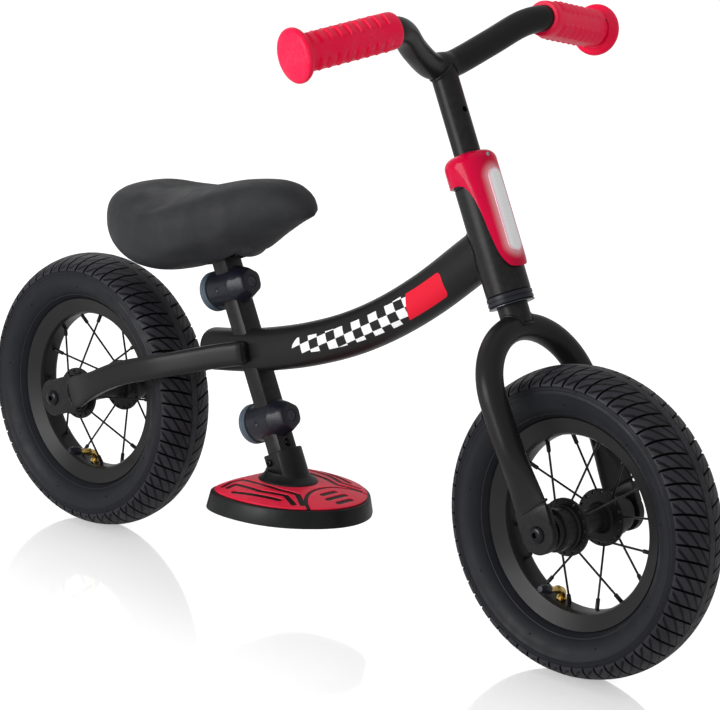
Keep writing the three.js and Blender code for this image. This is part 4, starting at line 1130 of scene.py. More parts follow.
LOWER_CUP = [(13, 184.3), (17.6, 184.3), (18.8, 184.9), (19, 186), (19, 187.6), (18.4, 188),
             (18.4, 188.6), (19, 189), (19, 191.7), (18.4, 192.3), (14.7, 192.3), (14.7, 204.6),
             (13, 204.6)]
UPPER_CUP = [(13, 271.6), (14.7, 271.6), (14.7, 283.9), (18.4, 283.9), (18.7, 284.3),
             (18.7, 286.6), (17.8, 287.3), (13, 287.3)]


class BIKE_OT_head_tube(BikeOperator, bpy.types.Operator):
    """Head tube, its two headset cups and the crown race"""

    bl_idname = "bike.head_tube"
    bl_label = "Head tube and headset"

    def build(self, scene):
        paint = powder_coat("head_paint", scene.bike_frame.paint)
        black = moulded_plastic("cup_black", scene.bike_plastic.black, 0.28, 0.4)
        steel = turned_metal("race_steel", "#56585c", 0.22, (1, 1, 1), 900)
        tube = tube_profile(0.0186, 0.015, 0.1926, 0.2836)
        race = tube_profile(0.0191, 0.013, 0.1830, 0.1840, 0.0002)
        for profile, *looks in (
                (tube, "head_tube_shell", "frame", paint, "black_paint", "head_tube"),
                (mm(LOWER_CUP), "lower_cup_ring", "frame", black, "black_plastic",
                 "lower_headset_cup"),
                (mm(UPPER_CUP), "upper_cup_ring", "frame", black, "black_plastic",
                 "upper_headset_cup"),
                (race, "crown_race_ring", "fork", steel, "steel", "crown_race")):
            dress(turned("ring", profile, STEERING, 80), *looks)


def on_post(height):
    """Matrix of a hole or button on the posts' front: local Z points forward from the tube."""
    return SEAT @ Matrix.Translation((0, 0, height)) @ Matrix.Rotation(math.pi / 2, 4, "Y")


class BIKE_OT_seat_tube(BikeOperator, bpy.types.Operator):
    """Seat tube through the beam, and the two posts that slide in it"""

    bl_idname = "bike.seat_tube"
    bl_label = "Seat tube and posts"

    def build(self, scene):
        paint = powder_coat("seat_tube_paint", scene.bike_frame.paint)
        tube = carve(rounded_bar("tube", POST, -0.0682, 0.0682),
                     rounded_bar("bore", TUBE_BORE, -0.07, 0.07, 0))
        dress(tube, "seat_tube_shell", "frame", paint, "black_paint", "seat_tube")
        rise = SADDLE_PAN_TOP - SADDLE_PAN_WALL - GAP - SEAT_MIDDLE.z
        level = rise / math.cos(LEAN)
        head = rounded_bar("head", POST, 0.0685, level + 0.02)
        flat = (SEAT @ Vector((0, 0, level))).z
        carve(head, block("above", (-0.3, -0.1, flat), (0.2, 0.1, flat + 0.1)))
        stem = rounded_bar("stem", STEM, -0.0095, 0.0690)
        carve(stem, *[rod("hole", 0.0025, -0.02, -0.004, on_post(0.0637 - 0.02 * k), 20)
                      for k in range(3)])
        dress(joined(head, stem), "saddle_post_bar", "saddle", paint, "black_paint", "saddle_post")
        post = rounded_bar("post", POST, -0.1142, -0.0685)
        button = on_post(-0.0826)
        carve(post, rod("hole", 0.0038, 0.0076, 0.02, button, 28))
        post = joined(post, rounded_bar("stem", STEM, -0.0690, -0.0305))
        dress(post, "footrest_post_bar", "footrest", paint, "black_paint", "footrest_post")
        cap = turned("cap", [(0, 0.0080), (0.0034, 0.0080), (0.0034, 0.0100), (0.0028, 0.0109),
                             (0.0016, 0.0113), (0, 0.0114)], button, 40)
        dress(cap, "footrest_spring_button", "footrest",
              turned_metal("button_black", "#1b1b1d", 0.24), "dark_steel", "footrest_button")


# ---------------------------------------------------------------------------
# Clamps
# ---------------------------------------------------------------------------

BARREL = [
    (0, -19), (15.6, -19), (16.6, -18.5), (16.8, -17.8), (16.8, 7.2), (16.55, 7.4), (16.55, 8),
    (16.8, 8.2), (16.6, 10.2), (16.1, 11.9), (15.4, 13.2), (14.7, 14.6), (14.2, 16.2),
    (13.9, 17.8), (13.5, 19.4), (12.8, 21), (11.8, 22.3), (10.6, 23.1), (9.2, 23.5), (0, 23.5)]
KNOB = [
    (0, -9), (3.6, -9), (4, -9.5), (4, -19.3), (17.2, -19.3), (17.8, -19.9), (17.8, -21.2),
    (17.4, -21.5), (17.4, -21.9), (17.8, -22.2), (17.8, -25), (17.2, -26.4), (15.8, -27.2),
    (14.8, -27.3), (14, -26.6), (13.4, -24.8), (0, -24.4)]
PLUG = [(0, 20), (4.6, 20), (5, 20.5), (5, 22.8), (4.6, 23.2), (3, 23.3), (2.6, 22.7), (0, 22.6)]


def clamp_barrel(place):
    """Round clamp body across the seat tube, its domed nose softly six-sided."""
    body = turned("barrel", mm(BARREL), None, 80)
    deselect()
    bpy.ops.mesh.primitive_cone_add(vertices=6, radius1=0.0330, radius2=0.0119, depth=0.0445,
                                    location=(0, 0, 0.0020), rotation=(0, 0, math.pi / 6))
    carve(body, bevel(named("facets"), 0.0024, 4, 20), operation="INTERSECT")
    carve(body, rod("recess", 0.0052, 0.0196, 0.03))
    for side, _ in SIDES:
        carve(body, ball("dimple", (0.001, side * 0.0198, -0.0045), (0.0042,) * 3, 24, 12))
    return carve(moved(body, place), rounded_bar("tube", POST_HOLE, -0.14, 0.14, 0))


def clamp_knob(place):
    """Round knob with a fluted rim, a finger bar across its dished back and its screw."""
    bar = block("bar", (-0.0030, -0.0128, -0.0271), (0.0030, 0.0128, -0.0240))
    knob = joined(turned("knob", mm(KNOB), None, 120), bevel(bar, 0.0011, 3))
    return moved(knob, place @ Matrix.Rotation(math.radians(34), 4, "Z"))


class BIKE_OT_clamps(BikeOperator, bpy.types.Operator):
    """Both clamp barrels with their front plugs and rear knobs"""

    bl_idname = "bike.clamps"
    bl_label = "Clamps"

    def build(self, scene):
        black = moulded_plastic("clamp_plastic", scene.bike_plastic.black, 0.28, 0.38)
        blue = moulded_plastic("knob_plastic", scene.bike_plastic.knob, 0.28, 0.4)
        slate = moulded_plastic("plug_plastic", colour("#30303b"), 0.3, 0.42)
        for name, place in BARRELS.items():
            dress(clamp_barrel(place), f"{name}_clamp_body", "frame", black, "black_plastic",
                  f"{name}_clamp_barrel")
            dress(turned("plug", mm(PLUG), place, 40), f"{name}_clamp_nose_plug", "frame", slate,
                  "knob_plastic", f"{name}_clamp_plug")
            dress(clamp_knob(place), f"{name}_tightening_knob", f"{name}_knob", blue,
                  "knob_plastic", f"{name}_clamp_knob")


# ---------------------------------------------------------------------------
# Fork and head cover
# ---------------------------------------------------------------------------

FORK_TRACK = 0.057
FORK_RADIUS = 0.011
FORK_SHOULDER = 0.1075
FORK_LEG_END = 0.020
FORK_RAKE = 0.0076
FORK_CROWN = FORK_SHOULDER + FORK_TRACK
COVER_RADIUS = 0.0218
COVER_TIP = 0.2103
COVER_SKIRT = 0.286
COVER_TOP = 0.310
COVER_ROUND = 0.009
COVER_SCREW = 0.304
PANEL_MIDDLE = 0.2575
PANEL_HALF_WIDTH = 0.0075
PANEL_STRAIGHT = 0.0275            # half the length between the centres of its round ends


def fork_arch():
    """Arched tube of the fork, its ends flattened toward the dropouts."""
    leg = FORK_SHOULDER - FORK_LEG_END
    total = math.pi * FORK_TRACK + 2 * leg
    path = []
    steps = 150
    for k in range(steps + 1):
        run = total * k / steps
        along = min(run, total - run)
        side = -1 if run < total / 2 else 1
        if along < leg:
            y, height = mix(DROPOUT_MIDDLE, FORK_TRACK, ease(along, 0, leg * 0.7)), along
            height += FORK_LEG_END
        else:
            turn = (along - leg) / FORK_TRACK
            y, height = FORK_TRACK * math.cos(turn), FORK_SHOULDER + FORK_TRACK * math.sin(turn)
        path.append(Vector((FORK_RAKE * (1 - height / FORK_CROWN), side * y, height)))

    def size(t):
        flat = 1 - ease(total * min(t, 1 - t), 0, leg * 0.62)
        return mix(FORK_RADIUS, DROPOUT_RADIUS, flat), mix(FORK_RADIUS, DROPOUT_WALL / 2, flat)

    return swept("arch", rings_along(path, (1, 0, 0), size, superellipse(36, 0.95)))


def fork_dropout(side):
    """Round-ended end plate of one fork leg and the weld line across its top."""
    seat = axis_place((FORK_RAKE, side * DROPOUT_INNER, 0), (0, side, 0), (0, 0, 1))
    points = [Vector((FORK_RAKE + 0.0164 * math.cos(a),
                      side * (DROPOUT_MIDDLE + 0.0036 * math.sin(a)),
                      FORK_LEG_END + 0.001 + 0.0035 * math.cos(a))) for a in turns(60)]
    normals = [Vector((math.cos(a), side * math.sin(a), 0.4)) for a in turns(60)]
    return joined(*dropout(seat, seat, FORK_LEG_END + 0.001, 0.0164, 0.0001),
                  weld_bead(points, normals, 0.0011))


class BIKE_OT_fork(BikeOperator, bpy.types.Operator):
    """Arched fork with its dropouts, steerer and welds"""

    bl_idname = "bike.fork"
    bl_label = "Fork"

    def build(self, scene):
        steerer = turned("steerer", [
            (0.0115, FORK_CROWN + 0.012), (0.0127, FORK_CROWN + 0.002), (0.0127, 0.3066),
            (0.0123, 0.3070), (0.0115, 0.3070)])
        ring = []
        for a in turns(120):
            x, y = 0.0125 * math.cos(a), 0.0125 * math.sin(a)
            out = FORK_TRACK + math.sqrt(max(0.0, FORK_RADIUS ** 2 - x * x))
            ring.append(Vector((x, y, FORK_SHOULDER + math.sqrt(out * out - y * y) + 0.0004)))
        bead = weld_bead(ring, [Vector((p.x, p.y, 0.006)) for p in ring], 0.0012)
        fork = joined(fork_arch(), steerer, bead, fork_dropout(1), fork_dropout(-1))
        dress(moved(fork, STEERING), "fork_arch", "fork",
              powder_coat("fork_paint", scene.bike_frame.paint), "black_paint", "fork")


def head_cover_mesh():
    """Moulded shell: a closed collar round the stem and a long tongue down the head tube."""
    centre = COVER_RADIUS - COVER_ROUND
    shoulder = [(centre + COVER_ROUND * math.cos(a), COVER_TOP - COVER_ROUND
                 + COVER_ROUND * math.sin(a)) for a in (math.radians(10 * k) for k in range(10))]
    shell = turned("cover", [
        (COVER_RADIUS, COVER_TIP - 0.008), *shoulder, (0.0128, COVER_TOP + 0.0002),
        (0.0122, COVER_TOP - 0.0003), (0.0122, COVER_TOP - 0.0028), (0.0136, COVER_TOP - 0.0032),
        (COVER_RADIUS - 0.0040, COVER_TOP - 0.0075), (COVER_RADIUS - 0.0028, COVER_TOP - 0.0110),
        (COVER_RADIUS - 0.0028, COVER_TIP - 0.008)], None, 128)
    edge = [(0, 0), (-2.8, 2.8), (-5.9, 13), (-7.9, 29), (-9.6, 48), (-11.8, 61), (-15.3, 70.5)]
    edge = [(COVER_RADIUS + x, 0, COVER_TIP + s) for x, s in mm(edge)]
    edge += [(0.001, 0, COVER_SKIRT - 0.001), (-0.008, 0, COVER_SKIRT)]
    outline = [(-0.04, COVER_TIP - 0.03), (0.04, COVER_TIP - 0.03), (0.04, COVER_TIP),
               *[(p.x, p.z) for p in spline(edge, 64)], (-0.04, COVER_SKIRT)]
    carve(shell, slab("underside", outline, -0.05, 0.05),
          rod("screw_hole", 0.0021, 0.015, 0.03, facing_front(0, COVER_SCREW), 24))
    return bevel(shell, 0.0005, 2, 40)


def panel_mesh():
    """Long round-ended plate that follows the curve of the tongue."""
    inside, outside = COVER_RADIUS + GAP, 0.0229
    skin = turned("panel", [(inside, 0.20), (outside, 0.20), (outside, 0.315), (inside, 0.315)],
                  None, 200)
    outline = [(PANEL_HALF_WIDTH * math.sin(a), PANEL_MIDDLE + PANEL_HALF_WIDTH * math.cos(a)
                + math.copysign(PANEL_STRAIGHT, math.cos(a))) for a in turns(72, 0.5)]
    cutter = slab("outline", outline, 0.005, 0.04, Matrix.Rotation(-math.pi / 2, 4, "Z"))
    return bevel(carve(skin, cutter, operation="INTERSECT"), 0.0003, 2, 40)


def along_cover(point, _):
    """UV of a point on the cover: metres round from its front and up from the panel's middle."""
    return math.atan2(point.y, point.x) * 0.0225, point.z - PANEL_MIDDLE


def from_panel_line(made):
    """Distance from the panel's middle line, in metres."""
    across, along, _ = made.split("UV")
    reach = abs(along) - PANEL_STRAIGHT | 0.0
    return (across ** 2.0 + reach ** 2.0) ** 0.5


def cover_finish(red):
    """Red plastic with a painted highlight: it fades to a pale pink where it meets the panel."""
    made = plastic("cover_red", red, 0.14, 0.24, 500, 0.14)
    # Painted highlight: pale pink laid over the red, strongest next to the panel.
    near = made.ramp(from_panel_line(made), 0.0150, 0.0074) ** 1.7
    flow = made.shader.inputs["Base Color"].links[0].from_socket
    made.set("Base Color", made.blend(near * 0.72, flow, colour("#ffd3d2")))
    return made.material


def panel_finish(base):
    """Pearl plate whose edge blushes to pink, a painted reflection of the red cover round it."""
    made = Finish("panel_silver", metallic=0.1, coat_weight=0.3, coat_roughness=0.12)
    # Painted reflection: the plate's edge is tinted pink, as if it mirrored the red cover.
    edge = made.ramp(from_panel_line(made), 0.0052, 0.0074, steep="SMOOTHSTEP")
    streaks = made.noise(300, 4, 0.6, (1, 1, 14))
    face = made.blend(made.ramp(streaks, 0.3, 0.7), base, dimmed(base, 0.9))
    made.set("Base Color", made.blend(edge * 0.75, face, colour("#f0a9bd")))
    made.set("Roughness", made.ramp(streaks, 0.3, 0.7, 0.24, 0.36))
    made.bump(streaks, 0.06, 0.0002)
    return made.material


class BIKE_OT_head_cover(BikeOperator, bpy.types.Operator):
    """Red head cover with its bare silver panel and small screw, over the stem clamp"""

    bl_idname = "bike.head_cover"
    bl_label = "Head cover"

    def build(self, scene):
        settings = scene.bike_plastic
        shell, panel = head_cover_mesh(), panel_mesh()
        for obj in (shell, panel):
            set_uv(obj, along_cover)
            moved(obj, STEERING)
        dress(shell, "head_cover_shell", "fork", cover_finish(settings.red), "red_plastic",
              "head_cover", angle=30)
        dress(panel, "bare_cover_panel", "fork", panel_finish(settings.panel), "silver_panel",
              "cover_panel")
        screw = socket_bolt(0.0019, 0.0008, 0.0014, 0.0045,
                            STEERING @ facing_front(0.0205, COVER_SCREW), 0.0009)
        dress(screw, "cover_button_screw", "fork",
              turned_metal("small_screw_steel", "#c4c5c8", 0.25), "dark_steel", "cover_screw")
        paint_node("stem_clamp", turned_metal("clamp_steel", "#2a2b2d", 0.3))
        paint_node("height_pin", turned_metal("pin_steel", "#8d9094", 0.22))


# ---------------------------------------------------------------------------
# Handlebar and grips
# ---------------------------------------------------------------------------

BAR_RADIUS = 0.0111
BAR_JUNCTION = 0.3853
BAR_BENDS = [(0.8, 0, 0.5), (1.9, 16, 1.8), (17.4, 46, 11.4), (33.7, 71, 20.1)]
PIN_HOLES = (0.294, 0.3455)
GRIP_START = Vector((0.0412, 0.0908, BAR_JUNCTION + 0.0215))
GRIP_AXIS = Vector((-22.3, 94.7, -7.9)).normalized()
GRIP_LENGTH = 0.099
GRIP_ROWS = 4
GRIP_END = [  # radius, and height from the grip's tip (mm)
    (16, -10.5), (17, -9.6), (19.4, -8.8), (21, -8), (21.7, -6.7), (21.9, -5.2), (21.6, -3.8),
    (20.7, -2.6), (19.4, -1.9), (17.6, -1.5), (15, -1.3), (9, -1.2), (4, -1.1),
]


def handlebar_mesh():
    """One bent tube welded across the top of its stem, drilled for the height pin."""
    bends = [Vector(bend) + Vector((0, 0, BAR_JUNCTION)) for bend in mm(BAR_BENDS)]
    left = [*bends[1:], *[GRIP_START + GRIP_AXIS * d for d in (0.0, 0.018, 0.045, 0.070, 0.094)]]
    right = [Vector((p.x, -p.y, p.z)) for p in reversed(left)]
    bar = swept("bar", rings_along(spline([*right, bends[0], *left], 170), (1, 0, -0.3),
                                   lambda t: (BAR_RADIUS, BAR_RADIUS), superellipse(40, 1)))
    stem = turned("stem", [(0.0095, 0.2320), (0.0106, 0.2320), (BAR_RADIUS, 0.2325),
                           (BAR_RADIUS, BAR_JUNCTION), (0.0095, BAR_JUNCTION)])
    carve(stem, *[rod("pin_hole", 0.0026, 0.003, 0.03, facing_front(0, height), 24)
                  for height in PIN_HOLES])
    ring = [Vector((0.0113 * math.cos(a), 0.0113 * math.sin(a),
                    BAR_JUNCTION + 0.0006 - 0.0113 * abs(math.sin(a)) ** 0.9)) for a in turns(96)]
    bead = weld_bead(ring, [Vector((p.x, p.y, -0.006)) for p in ring], 0.0014)
    return joined(bar, stem, bead)


def grip_mesh(ribs, side):
    """Rubber grip along local Z: staggered rows of sawtooth ribs and a broad round end."""
    start, finish = 0.0125, GRIP_LENGTH - 0.0130
    pitch = (finish - start) / ribs
    angles = turns(100)
    marks = {0.0, 0.0012, 0.004, 0.0095, finish + 0.0006}
    for k in range(2 * ribs + 1):
        low = start + pitch * (k / 2 - 0.5)
        marks |= {round(low + pitch * f, 6) for f in (0.0, 0.16, 0.32, 0.42)}
    rings = []
    for z in sorted(m for m in marks if m <= finish + 0.001):
        inside = ease(z, start - 0.003, start) * (1 - ease(z, finish - 0.002, finish))
        ring = []
        for k, angle in enumerate(angles):
            sector = GRIP_ROWS * k / len(angles) + 0.256
            along = ((z - start) / pitch + 0.5 * (int(sector) % 2)) % 1.0
            rib = along if along < 0.9 else 9 * (1 - along)
            rib *= 1 - ease(abs(sector % 1.0 - 0.5), 0.22, 0.32)
            r = 0.0151 + 0.0023 * rib * inside - 0.0010 * (1 - ease(z, 0, 0.002))
            ring.append(Vector((r * math.cos(angle), -side * r * math.sin(angle), z)))
        rings.append(ring)
    rings += [[Vector((r * math.cos(a), r * math.sin(a), GRIP_LENGTH + z)) for a in angles]
              for r, z in mm(GRIP_END)]
    return swept("grip", rings)


class BIKE_OT_handlebar(BikeOperator, bpy.types.Operator):
    """Bent handlebar on its stem, with both rubber grips"""

    bl_idname = "bike.handlebar"
    bl_label = "Handlebar and grips"

    def build(self, scene):
        dress(moved(handlebar_mesh(), STEERING), "bent_bar_and_stem", "handlebar",
              powder_coat("bar_paint", scene.bike_frame.paint), "black_paint", "handlebar")
        settings = scene.bike_contact
        rubber = soft_rubber("grip_rubber", settings.grip_colour, "#e04a66", 0.34, 0.46)
        for side, word in SIDES:
            start, along = ((p.x, side * p.y, p.z) for p in (GRIP_START, GRIP_AXIS))
            grip = moved(grip_mesh(settings.grip_ribs, side),
                         STEERING @ axis_place(start, along, (1, 0, 0.2)))
            edit(grip)
            merge()
            face_outward()
            bpy.ops.object.mode_set(mode="OBJECT")
            dress(grip, f"{word}_grip_rubber", "handlebar", rubber, "red_rubber", f"{word}_grip",
                  angle=38)


# ---------------------------------------------------------------------------
# Saddle
# ---------------------------------------------------------------------------

SADDLE_TAIL = -0.247
SADDLE_NOSE = -0.025
SADDLE_STATIONS = [  # share of the way, half width, top, underside (mm)
    (0.0, 22, 305, 298), (0.04, 41, 325, 281), (0.12, 54.5, 332.3, 266), (0.25, 64.5, 332, 257.5),
    (0.4, 67.5, 334.5, 262.5), (0.55, 60, 342, 272), (0.7, 46, 350, 283.5), (0.84, 31, 353, 304.5),
    (0.94, 20.5, 345.5, 319.5), (1.0, 9, 333, 326.5),
]
SADDLE_PAN_TOP = 0.296
SADDLE_PAN_WALL = 0.004


def saddle_mesh():
    """Moulded saddle cushion: broad dished tail, raised nose and a tucked-in skirt."""
    columns = [spline([(row[0], 0, row[k]) for row in SADDLE_STATIONS], 120) for k in (1, 2, 3)]
    around, along = 56, 64
    rings = []
    for i in range(along + 1):
        t = 0.5 - 0.5 * math.cos(math.pi * i / along)
        half, top, under = (float(np.interp(t, [p.x for p in column], [p.z for p in column])) * MM
                            for column in columns)
        middle, reach = (top + under) / 2, (top - under) / 2
        dish = 0.0022 * math.exp(-((t - 0.42) / 0.22) ** 2) / reach
        crease = mix(0.55, 0.16, ease(t, 0.3, 0.85))
        deep = mix(0.08, 0.56, ease(t, 0.3, 0.75))
        ring = []
        for y, z in superellipse(around, 0.75):
            if z > 0:
                z -= dish * (1 - y * y) ** 2
            tuck = 1 - deep * max(0.0, (-z - crease) / (1 - crease))
            ring.append(Vector((mix(SADDLE_TAIL, SADDLE_NOSE, t), -half * y * tuck,
                                middle + reach * z)))
        rings.append(ring)
    return swept("cushion", rings)


def inflate(obj, voxel, pressure, cap):
    """Fills the skin as a padded piece: a short cloth run under pressure, its moves capped."""
    modify(obj, "REMESH", mode="VOXEL", voxel_size=voxel)
    rest = [v.co.copy() for v in obj.data.vertices]
    group = obj.vertex_groups.new(name="held")
    group.add([index for index, point in enumerate(rest)
               if point.z < SADDLE_PAN_TOP + 0.004 and abs(point.y) < 0.026], 1.0, "REPLACE")
    cloth = obj.modifiers.new("Cloth", "CLOTH")
    for key, value in (("use_pressure", True), ("uniform_pressure_force", pressure),
                       ("vertex_group_mass", "held"), ("tension_stiffness", 40),
                       ("compression_stiffness", 40)):
        setattr(cloth.settings, key, value)
    cloth.settings.effector_weights.gravity = 0.0
    scene = bpy.context.scene
    for step in range(1, 21):
        scene.frame_set(step)
    posed = obj.evaluated_get(bpy.context.evaluated_depsgraph_get()).to_mesh()
    filled = [v.co.copy() for v in posed.vertices]
    obj.modifiers.remove(cloth)
    for vertex, start, end in zip(obj.data.vertices, rest, filled):
        move = end - start
        vertex.co = start + move * min(1.0, cap / max(move.length, 1e-9))
    scene.frame_set(1)
    obj.vertex_groups.remove(group)
    return modify(obj, "SMOOTH", factor=0.5, iterations=3)


def saddle_finish(base):
    """Black vinyl: fine leather grain, soft sheen and faint scuffs on the crown."""
    made = Finish("saddle_vinyl", specular_ior_level=0.04)
    voronoi = made.node("ShaderNodeTexVoronoi", feature="DISTANCE_TO_EDGE")
    made.put(made.coords.outputs["Object"], voronoi.inputs["Vector"])
    voronoi.inputs["Scale"].default_value = 620
    grain = made.ramp(voronoi.outputs["Distance"], 0.0, 0.22)
    wear = made.uneven(38, 5, 0.42, 0.7, roughness=0.6)
    made.set("Base Color", made.blend(wear * 0.6, base, colour("#414143")))
    made.rough(70, 4, 0.40, 0.52)
    made.bump(grain * 0.6 + made.noise(1300, 2) * 0.3, 0.22, 0.0003)
    return made.material


def saddle_pan():
    """Pressed plate with a round lobe hanging under its front."""
    plate = rounded_bar("plate", (0.030, 0.017, 0.006), SADDLE_PAN_TOP - SADDLE_PAN_WALL,
                        SADDLE_PAN_TOP, 0.0008, Matrix.Translation((-0.138, 0, 0)))
    lobe = ball("lobe", (-0.100, 0, SADDLE_PAN_TOP), (0.0182, 0.0184, 0.0148), 48, 32)
    edit(lobe)
    bpy.ops.mesh.bisect(plane_co=(0, 0, SADDLE_PAN_TOP), plane_no=(0, 0, 1), use_fill=True,
                        clear_outer=True)
    bpy.ops.object.mode_set(mode="OBJECT")
    return joined(plate, lobe)


class BIKE_OT_saddle(BikeOperator, bpy.types.Operator):
    """Padded saddle on its pressed pan, with the button bolt under it"""

    bl_idname = "bike.saddle"
    bl_label = "Saddle"

    def build(self, scene):
        settings = scene.bike_contact
        cushion = saddle_mesh()
        inflate(cushion, 0.0042, 1.2, 0.0025)
        carve(cushion, block("pocket", (-0.1705, -0.0192, 0.2),
                             (-0.0808, 0.0192, SADDLE_PAN_TOP + 0.0004)))
        dress(cushion, "saddle_padding", "saddle", saddle_finish(settings.saddle_colour),
              "saddle_vinyl", "saddle_cushion", angle=60)
        dress(saddle_pan(), "pressed_saddle_pan", "saddle",
              moulded_plastic("pan_black", settings.saddle_colour, 0.42, 0.52), "black_plastic",
              "saddle_pan")
        bolt = socket_bolt(0.0034, 0.0034, 0.002, 0.006, SEAT @ facing_front(0.0098, 0.0900),
                           0.0015)
        dress(bolt, "saddle_button_bolt", "saddle",
              turned_metal("saddle_bolt_black", "#242427", 0.3), "dark_steel", "saddle_bolt")


# ---------------------------------------------------------------------------
# Footrest
# ---------------------------------------------------------------------------

FOOT_HALF = (0.0612, 0.0625)
FOOT_CENTRE = -0.0252
PAD_EDGE = 0.0858
PAD_CROWN = 0.0925
COLLAR_RADIUS = 0.0245
COLLAR_STRETCH = 1.14
COLLAR_X = SEAT_MIDDLE.x + (SEAT_MIDDLE.z - PAD_CROWN) * math.tan(LEAN) - 0.0035
SOCKET_TOP = -0.0884
SLOT_WIDTH = 0.0054
SLOT_SPAN = (0.0841, PAD_CROWN + 0.004)  # heights that the slots' cutters reach
ARC_GAP = 0.0036
FRONT_ARC = (0.036, 0.040)
FOOT_CORNER = [
    ((-1, -0.55), (-1, -0.82), (-0.8, -1), (-0.33, -1)),
    ((-0.33, -1), (0.2, -1), (0.55, -0.8), (0.76, -0.55)),
    ((0.76, -0.55), (0.92, -0.38), (1, -0.2), (1, 0)),
]
FOOT_CURVES = FOOT_CORNER + [[(x, -y) for x, y in reversed(curve)]
                             for curve in reversed(FOOT_CORNER)]
FOOT_SLAB = [  # growth lengthwise and sideways, and height (mm)
    (2, 4.5, 68.5), (3.6, 6.1, 68.6), (4.4, 6.9, 69.1), (4.5, 7, 69.9), (3.1, 3.2, 82.4),
    (2.9, 2.9, 83.2), (2.4, 2.4, 83.8), (1.6, 1.6, 84), (-4, -4, 84),
]
COLLAR = [  # radius and height (mm)
    (24.5, 83.5), (24.5, 92.6), (24, 93.4), (22.6, 94.4), (20.6, 95.8), (19, 97.4), (17.8, 99),
    (17.2, 100.4),
]
SIDE_SLOTS = [
    [(-72, -49), (-72, -38), (-67, -30), (-24, -28.5), (-6, -24.5), (11, -35.5)],
    [(-65, -50), (-64, -42), (-34, -41.5), (-11, -34), (5, -40.5)],
    [(-53, -54.5), (-9, -43.5)],
]
FRONT_SLOTS = [[(8, -8), (8, 8)], [(17.5, -11), (17.5, 11)], [(27, -8), (27, 8)]]


def foot_outline(lengthwise, sideways, height, centre=FOOT_CENTRE, scale=1.0):
    """Plan of the footrest as a ring of points: straight tail, bulging sides, round front."""
    length, width = FOOT_HALF[0] + lengthwise, FOOT_HALF[1] + sideways
    plan = []
    for a, b, c, d in FOOT_CURVES:
        for k in range(16):
            t = k / 16
            w = ((1 - t) ** 3, 3 * t * (1 - t) ** 2, 3 * t * t * (1 - t), t ** 3)
            plan.append([sum(weight * p[i] for weight, p in zip(w, (a, b, c, d))) for i in (0, 1)])
    plan += [(-1, mix(0.55, -0.55, k / 8)) for k in range(1, 8)]
    return [Vector((centre + x * length * scale, y * width * scale, height)) for x, y in plan]


def collar_ring(radius, height):
    centre = mix(COLLAR_X, COLLAR_X - 0.0022, ease(height, 0.093, 0.101))
    return [Vector((centre + radius * COLLAR_STRETCH * math.cos(a), radius * math.sin(a), height))
            for a in turns(72)]


def pad_dome(sink=0.0):
    """Domed tread from its rolled edge up to the collar, or the base's dome sunk under it."""
    crown = COLLAR_STRETCH * (COLLAR_RADIUS + 0.0004) / FOOT_HALF[1]
    rings = [foot_outline(grow - sink, grow - sink, height - sink)
             for grow, height in mm([(-0.2, 84.3), (0, 84.6), (0, 85.2), (-0.4, 85.7)])]
    for k in range(1, 17):
        rise = k / 16
        height = mix(PAD_EDGE, PAD_CROWN, rise) + 0.0011 * math.sin(math.pi * rise) - sink
        rings.append(foot_outline(-sink, -sink, height, mix(FOOT_CENTRE, COLLAR_X, rise),
                                  mix(0.992, crown, rise)))
    return swept("dome", rings)


def foot_base_mesh():
    """Base slab with sloping sides, a flaring collar and the clamp socket on the post."""
    base = swept("slab", [foot_outline(*ring) for ring in mm(FOOT_SLAB)])
    collar = swept("collar", [collar_ring(*ring) for ring in mm(COLLAR)])
    front = [(0.017 * math.cos(a), 0.017 * math.sin(a))
             for a in (math.radians(-64 + 4 * k) for k in range(33))]
    socket = slab("socket", [(-0.0123, 0.0125), (-0.0123, -0.0125), (-0.002, -0.0125), *front,
                             (-0.002, 0.0125)], SOCKET_TOP - 0.032, SOCKET_TOP,
                  SEAT @ Matrix.Rotation(math.pi / 2, 4, "X"))
    bevel(socket, 0.0009, 3, 40)
    for shell in (collar, socket):
        carve(shell, rounded_bar("post_hole", POST_HOLE, -0.1154, -0.06, 0))
    carve(socket, block("split", (-0.02, -0.0008, SOCKET_TOP - 0.02),
                        (-0.006, 0.0008, SOCKET_TOP + 0.01), SEAT))
    return joined(base, collar, socket, pad_dome(0.0006))


def stroke(path):
    """Round-ended cutter along a path of (x, y) points in millimetres."""
    low, high = SLOT_SPAN
    points = [Vector((x, y, 0)) for x, y in mm(path)]
    ends = [rod("end", SLOT_WIDTH / 2, low, high, Matrix.Translation(point), 20)
            for point in points]
    runs = [block("run", (0, -SLOT_WIDTH / 2, low), ((b - a).length, SLOT_WIDTH / 2, high),
                  axis_place(a, (0, 0, 1), b - a)) for a, b in zip(points, points[1:])]
    return carve(*ends, *runs, operation="UNION")


def front_disc(grow):
    """Cutter on the arc that parts the front pad from the main one."""
    low, high = SLOT_SPAN
    return rod("disc", FRONT_ARC[1] + grow, low - 0.01, high,
               Matrix.Translation((FRONT_ARC[0], 0, 0)), 96)


